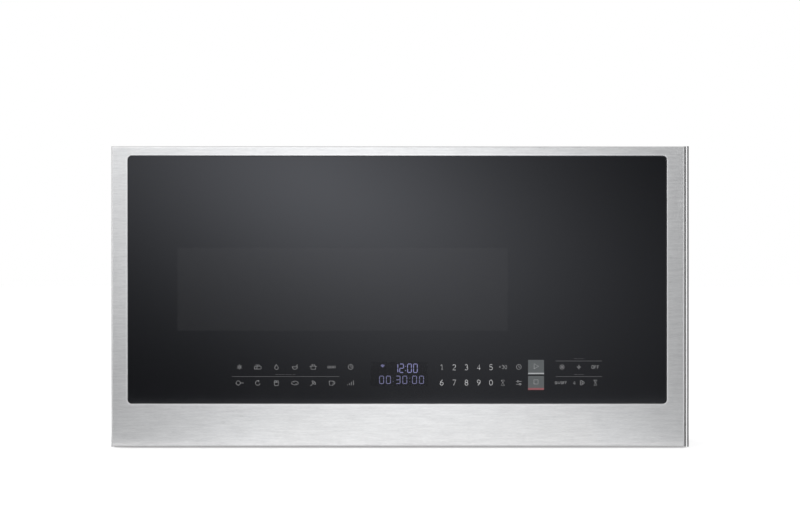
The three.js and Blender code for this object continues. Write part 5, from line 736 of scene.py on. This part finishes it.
PICTURES = {
    "frost": star(3.0, 6) + [ring(0, 0, 1.2)],
    "butter": [box_round(0, -0.8, 3.8, 1.5), [(-1, 0.7), (-1, -2.3)],
               [(-2.6, 1.7), (-1.3, 2.4), (0, 1.7), (1.3, 2.4), (2.6, 1.7)]],
    "drop": [[(0, 3.0)] + ring(0, -0.9, 2.0, 144, 396) + [(0, 3.0)]],
    "bowl": [[(-3.6, 0.2), (3.6, 0.2)], ring(0, 0.2, 2.9, 180, 360), [(1.2, 0.6), (3.4, 3.0)]],
    "steam": [[(-2.6, 1), (-2.6, -2.6), (2.6, -2.6), (2.6, 1), (-2.6, 1)], [(-4.2, 0.4), (-2.6, 0.4)],
              [(2.6, 0.4), (4.2, 0.4)], wavy(-1.2, 1.6, 3.2), wavy(1.2, 1.6, 3.2)],
    "modes": [box_round(x, 0, 1.1, 1.0) for x in (-3.2, 0, 3.2)],
    "clock": [ring(0, 0, 2.8), [(0, 1.7), (0, 0), (1.4, -0.6)]],
    "pan": [ring(-1.4, 0, 2.4), [(1.0, 0), (4.8, 0)]],
    "reheat": [ring(0, 0, 2.6, 60, 350), [(0.3, 3.2), (1.4, 2.2), (0.5, 1.1)]],
    "carton": [[(-2.6, 0.8), (-1.9, -3.0), (1.9, -3.0), (2.6, 0.8), (-2.6, 0.8)],
               ring(-1.3, 1.7, 1.0, -40, 200), ring(1.3, 1.7, 1.0, -20, 220)],
    "potato": [ring(0, 0, 3.8, tall=0.58), [(-1.4, 0.7), (-0.7, 0.7)], [(0.9, -0.6), (1.6, -0.6)]],
    "leaf": [ring(-1.4, -1.6, 4.0, 0, 90) + ring(2.6, 2.4, 4.0, 180, 270), [(-3.0, -3.1), (1.2, 1)]],
    "cup": [[(-2.8, 2.2), (-2.3, -2.6), (1.5, -2.6), (2.0, 2.2), (-2.8, 2.2)], ring(1.9, 0.2, 1.7, -80, 80)],
    "level": [[(x, -2.6), (x, -2.6 + h)] for x, h in ((-3.3, 1.2), (-1.1, 2.5), (1.1, 3.9), (3.3, 5.4))],
    "timer": [[(-1.9, 3.0), (1.9, 3.0), (-1.9, -3.0), (1.9, -3.0), (-1.9, 3.0)]],
    "sliders": [[(-3.2, 1.6), (3.2, 1.6)], [(-3.2, -1.6), (3.2, -1.6)], ring(-1, 1.6, 1.0),
                ring(1.4, -1.6, 1.0)],
    "bright": [ring(0, 0, 1.1)] + star(3.2, 8),
    "dim": [ring(0, 0, 1.1)] + star(2.5, 4),
    "fan": [ring(1.4, 0, 1.3, -160, 160), ring(-0.7, 1.21, 1.3, -40, 280), ring(-0.7, -1.21, 1.3, 80, 400)],
    "signal": [ring(0, -2.2, r, 48, 132, 6) for r in (1.3, 2.9, 4.5)],
    "start": [[(-1.9, -2.6), (2.6, 0), (-1.9, 2.6), (-1.9, -2.6)]],
    "stop": [box_round(0, 0, 2.1, 2.1)],
    "bars": [[(-4.8, 0), (-1.6, 0)], [(-0.6, 0), (1.7, 0)], [(2.6, 0), (4.8, 0)]],
    "long_bars": [[(left, 0), (left + 2.6, 0)] for left in (-10.5, -7.2, -3.9, -0.2, 3.1, 7.0)],
}
print("characters:", len(CHARACTERS), "pictures:", len(PICTURES))


# %% Drawing them on the glass
PRESSED_FLAT = 0.06  # a round stroke becomes a ribbon of this share of its depth


def drawn(strokes, x, z, unit, half_width=0.0002, face=INK_FACE):
    """Strokes as ribbons of ink on the pane, round a middle. A unit is one step of the strokes' own box."""
    curve = bpy.data.curves.new("strokes", "CURVE")
    curve.dimensions = "3D"
    curve.bevel_depth = half_width
    curve.bevel_resolution = 0
    for points in strokes:
        stroke = curve.splines.new("POLY")
        stroke.points.add(len(points) - 1)
        for point, (px, pz) in zip(stroke.points, points):
            point.co = (px * unit, 0, pz * unit, 1)
    made = bpy.data.objects.new("strokes", curve)
    bpy.context.collection.objects.link(made)
    deselect()
    made.select_set(True)
    bpy.context.view_layer.objects.active = made
    bpy.ops.object.convert(target="MESH")
    made = bpy.context.object
    made.scale = (1, PRESSED_FLAT, 1)
    made.location = (x, face, z)
    bpy.ops.object.transform_apply(location=True, rotation=False, scale=True)
    deselect()
    return made


def lettered(text, x, z, unit, half_width=0.0002):
    """A short line of characters, centred, as a list of meshes."""
    pace = 5.6 * unit
    start = x - pace * (len(text) - 1) / 2
    return [drawn(CHARACTERS[character], start + i * pace, z, unit, half_width)
            for i, character in enumerate(text)]


# %% Number keys
digits = []
for row, characters in ((367.3, "12345"), (382.6, "67890")):
    for column, character in zip((441.8, 454.3, 466.6, 478.8, 491.1), characters):
        digits += lettered(character, across(column), upwards(row), 0.00100, 0.00029)
joined(digits, "keypad_digits", digit_ink)

# %% Picture keys
columns = [239.6, 257.9, 276.5, 295.0, 313.4, 331.7, 350.7]
rows = {367.0: ["frost", "butter", "drop", "bowl", "steam", "modes", "clock"],
        383.0: ["pan", "reheat", "carton", "potato", "leaf", "cup", "level"]}
keys = [(name, column, row) for row, names in rows.items() for column, name in zip(columns, names)]
keys += [("timer", 503, 382.8), ("clock", 518.9, 367), ("sliders", 518.9, 382.8), ("bright", 562.1, 367),
         ("dim", 579, 367), ("fan", 582, 382.8), ("timer", 595.5, 382.8)]
pictures = [drawn(PICTURES[name], across(column), upwards(row), 0.00115) for name, column, row in keys]
joined(pictures, "key_pictures", pale_ink)

# %% Keys that say what any switch says
words = []
for word, column, row, unit in (("+30", 503, 367, 0.00068), ("OFF", 595.5, 367, 0.00062),
                                ("ON/OFF", 561, 382.8, 0.00047), ("4", 574.4, 382.8, 0.00062)):
    words += lettered(word, across(column), upwards(row), unit)
joined(words, "key_words", pale_ink)


# %% Thin lines over the groups of keys
def printed_bar(left, right, low, high, face=INK_FACE):
    """A flat rectangle of ink between two columns and two rows of the picture."""
    x0, x1, z0, z1 = across(left), across(right), upwards(low), upwards(high)
    bpy.ops.mesh.primitive_plane_add(size=1, location=((x0 + x1) / 2, face, (z0 + z1) / 2),
                                     rotation=(math.pi / 2, 0, 0))
    bar = bpy.context.object
    bar.scale = (x1 - x0, z1 - z0, 1)
    bpy.ops.object.transform_apply(location=True, rotation=True, scale=True)
    deselect()
    return bar


lines = [printed_bar(left, right, row + 0.18, row - 0.18)
         for left, right, row in ((232, 339.4, 376.6), (555.8, 602.1, 361), (555.8, 602.1, 376.6))]
lines += [drawn(PICTURES[name], across(column), upwards(row), 0.0013, 0.00022)
          for name, column, row in (("long_bars", 285.9, 374.6), ("bars", 579, 358.7), ("bars", 579, 374.6))]
joined(lines, "group_lines", dim_ink)

# %% Start and stop keys
key_grey = ink("key_grey", (0.068, 0.075, 0.078))
key_light = ink("key_light_band", (0.30, 0.31, 0.32))
key_red = ink("key_red_band", (0.22, 0.06, 0.068))
key_mark = ink("key_mark", (0.27, 0.28, 0.285))
KEY = (528.2, 544.1)  # left and right column of both keys
OVER_KEY = INK_FACE - 0.00005
joined([printed_bar(*KEY, 372.8, 359.9), printed_bar(*KEY, 388.0, 375.9)], "start_stop_keys", key_grey)
joined([printed_bar(*KEY, 374.2, 372.8)], "start_key_band", key_light)
joined([printed_bar(*KEY, 389.9, 388.0)], "stop_key_band", key_red)
joined([drawn(PICTURES[name], across(536.1), upwards(row), 0.0013, 0.0004, OVER_KEY)
        for name, row in (("start", 366.3), ("stop", 381.9))], "start_stop_marks", key_mark)

# %% [markdown]
# ## The lit display
# A digit is up to seven bars. Each is a flat lozenge, and a table says which of them a digit lights. They
# sit behind the pane, in front of the display's dark film, and show through the glass as real ones do.

# %% Seven bars
DISPLAY_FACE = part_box("door_glass")[1].y + 0.0001  # just behind the back of the pane
lit_bar = ink("lit_bars", (0.54, 0.54, 1.0), 4.4)
faint_bar = ink("lit_bars_of_the_second_row", (0.54, 0.54, 0.95), 3.4)
display_film_with_painted_glow = finish("display_film_with_painted_glow", (0.010, 0.010, 0.013), (0.016, 0.016, 0.02), (0.2, 0.3), pebbled,
                      Size=900.0)
# The dark film glows faintly: painted light, as the film is no lamp.
feed(shader_of(display_film_with_painted_glow), {"Emission Color": (0.023, 0.023, 0.025), "Emission Strength": 1.0})
BARS = {"0": "abcdef", "1": "bc", "2": "abged", "3": "abgcd"}
TIP_GAP = 0.35  # of a bar's thickness, between neighbours


def lozenge(x, z, length, upright, thick):
    """One bar of a digit: a flat six-sided lozenge."""
    bpy.ops.mesh.primitive_circle_add(vertices=6, radius=1, fill_type="NGON",
                                      location=(x, DISPLAY_FACE, z), rotation=(math.pi / 2, 0, 0))
    bar = bpy.context.object
    for corner in bar.data.vertices:
        tip = abs(corner.co.y) > 0.9
        corner.co.x = 0 if tip else math.copysign(thick / 2, corner.co.x)
        corner.co.y = math.copysign(length / 2 - (0 if tip else thick / 2), corner.co.y)
    if not upright:
        bar.rotation_euler = (math.pi / 2, math.pi / 2, 0)
    bpy.ops.object.transform_apply(location=True, rotation=True, scale=True)
    deselect()
    return bar


def seven_bars(character, x, z, width, height, thick):
    """The lit bars of one digit round its middle."""
    half, quarter = width / 2, height / 4
    # Each bar: how far across and up from the middle, and whether it stands upright.
    places = {"a": (0, 2 * quarter, False), "g": (0, 0, False), "d": (0, -2 * quarter, False),
              "b": (half, quarter, True), "f": (-half, quarter, True),
              "c": (half, -quarter, True), "e": (-half, -quarter, True)}
    made = []
    for bar in BARS[character]:
        dx, dz, upright = places[bar]
        length = (2 * quarter if upright else width) - thick * TIP_GAP
        made.append(lozenge(x + dx, z + dz, length, upright, thick))
    return made


time_row = []
for character, column in zip("1200", (396.0, 401.7, 409.6, 415.5)):
    time_row += seven_bars(character, across(column), upwards(368.3), 0.0050, 0.0112, 0.00105)
for row in (366.4, 370.6):
    time_row.append(lozenge(across(405.7), upwards(row), 0.0014, True, 0.0012))
time_row.append(drawn(PICTURES["signal"], across(382.7), upwards(366.4), 0.0008, 0.0004, DISPLAY_FACE))
joined(time_row, "display_time", lit_bar)
second_row = []
for character, column in zip("003000", (381.7, 388.5, 398.1, 404.9, 414.6, 421.6)):
    second_row += seven_bars(character, across(column), upwards(379.9), 0.0054, 0.0098, 0.0009)
for column in (393.3, 409.8):
    for row in (378.1, 381.7):
        second_row.append(lozenge(across(column), upwards(row), 0.0011, True, 0.0010))
joined(second_row, "display_second_row", faint_bar)
print("bars:", len(time_row) + len(second_row))

# %% The film behind them, with its painted glow
FILM_FACE = DISPLAY_FACE + 0.00008
joined([printed_bar(371, 427.6, 385.5, 362.5, FILM_FACE)], "display_screen", display_film_with_painted_glow)

# %% [markdown]
# ## Screws
# Sheet metal is held by screws, and the back, the front frame and the inside of the door look bare
# without them. A screw could be a bought model, but its head is quickly turned from a short cylinder: the
# top is inset and raised to a low dome, and inset again and pushed in for the driver. One is modelled and
# copied. Each copy is set down on the sheet itself, found by a ray shot at it, so none floats or sinks.

# %% One screw head
RIM, SOCKET_WALL = 0.3, 0.28  # widths, as shares of the radius
DOME, SOCKET_DEPTH = 0.35, 0.7  # as shares of the height


def screw_head(radius=0.0034, height=0.0007):
    """A low domed head that stands on the plane Z = 0."""
    bpy.ops.mesh.primitive_cylinder_add(vertices=18, radius=radius, depth=height,
                                        location=(0, 0, height / 2))
    made = bpy.context.object
    bpy.ops.object.transform_apply(location=True, rotation=True, scale=True)
    bpy.ops.object.mode_set(mode="EDIT")
    bpy.ops.mesh.select_all(action="DESELECT")
    bpy.ops.object.mode_set(mode="OBJECT")
    for face in made.data.polygons:
        face.select = face.normal.z > 0.9
    bpy.ops.object.mode_set(mode="EDIT")
    bpy.ops.mesh.inset(thickness=radius * RIM)
    bpy.ops.transform.translate(value=(0, 0, height * DOME))
    bpy.ops.mesh.inset(thickness=radius * SOCKET_WALL)
    bpy.ops.mesh.extrude_region_move(TRANSFORM_OT_translate={"value": (0, 0, -height * SOCKET_DEPTH)})
    bpy.ops.mesh.select_all(action="DESELECT")
    bpy.ops.object.mode_set(mode="OBJECT")
    deselect()
    return made


# %% Where they go
def set_down(pattern_screw, node, start, aim, proud=1.0):
    """A copy of the screw, standing on a node where a ray from start along aim meets it.

    A countersunk head is the same shape, less proud.
    """
    found, spot, _, _ = nodes[node].ray_cast(Vector(start) / 1000, Vector(aim))
    if not found:
        print("no sheet under a screw of", node, start)
        return None
    copy = pattern_screw.copy()
    copy.data = pattern_screw.data.copy()
    bpy.context.collection.objects.link(copy)
    copy.rotation_euler = (-Vector(aim)).to_track_quat("Z", "Y").to_euler()
    copy.location = spot
    copy.scale = (1, 1, proud)
    print(node, [round(v * 1000, 1) for v in spot])
    return copy


first_screw = screw_head()
COUNTERSUNK = 0.3
# Where each ray starts, in millimetres.
BACK = [(x, 400, z) for x in (-368, 368) for z in (14, 110, 200, 290, 386)]
BACK += [(x, 400, z) for x in (-190, 0, 190) for z in (8, 388)]
FRAME = [(x, -400, z) for x in (212, 366) for z in (28, 200, 372)]
FRAME += [(x, -400, 385) for x in (-300, -75, 150)]
INNER_DOOR = [(x, 0, z) for x in (-150, 120, 300) for z in (22, 376)]
on_cabinet = [set_down(first_screw, "back_plate", start, (0, -1, 0), COUNTERSUNK) for start in BACK]
on_cabinet += [set_down(first_screw, "front_frame", start, (0, 1, 0)) for start in FRAME]
on_door = [set_down(first_screw, "door_frame", start, (0, -1, 0)) for start in INNER_DOOR]
bpy.data.objects.remove(first_screw)
joined([screw for screw in on_cabinet if screw], "cabinet_screws", plated_steel, "cabinet")
joined([screw for screw in on_door if screw], "door_screws", plated_steel, "door")

# %% [markdown]
# ## Pull tabs of the grease filters
# A grease filter slides out to be washed, and a small ring on its frame is what a finger pulls. The ring
# could be a torus, but real ones are flat and long, so it is a thin plate whose middle is taken out.

# %% One tab for each filter
TAB_SIZE, TAB_RIM, TAB_ROUNDING = (0.026, 0.012, 0.0009), 0.003, 0.0003
TABS = (-0.186, 0.008, 0.00095), (0.186, 0.008, 0.00095)


def pull_tab(place):
    """A flat oblong ring under a filter's front edge."""
    bpy.ops.mesh.primitive_cube_add(size=1, location=place)
    tab = bpy.context.object
    tab.scale = TAB_SIZE
    bpy.ops.object.transform_apply(location=True, rotation=True, scale=True)
    bpy.ops.object.mode_set(mode="EDIT")
    bpy.ops.mesh.select_mode(type="FACE")
    bpy.ops.mesh.select_all(action="DESELECT")
    bpy.ops.object.mode_set(mode="OBJECT")
    for face in tab.data.polygons:
        face.select = abs(face.normal.z) > 0.9
    bpy.ops.object.mode_set(mode="EDIT")
    bpy.ops.mesh.inset(thickness=TAB_RIM)
    bpy.ops.mesh.bridge_edge_loops()
    bpy.ops.mesh.select_all(action="SELECT")
    bpy.ops.mesh.normals_make_consistent(inside=False)
    bpy.ops.object.mode_set(mode="OBJECT")
    softened = tab.modifiers.new("round_corners", "BEVEL")
    softened.width = TAB_ROUNDING
    softened.segments = 2
    bpy.ops.object.modifier_apply(modifier="round_corners")
    deselect()
    return tab


joined([pull_tab(place) for place in TABS], "filter_pull_tabs", plated_steel, "cabinet")

# %% Finish
deselect()
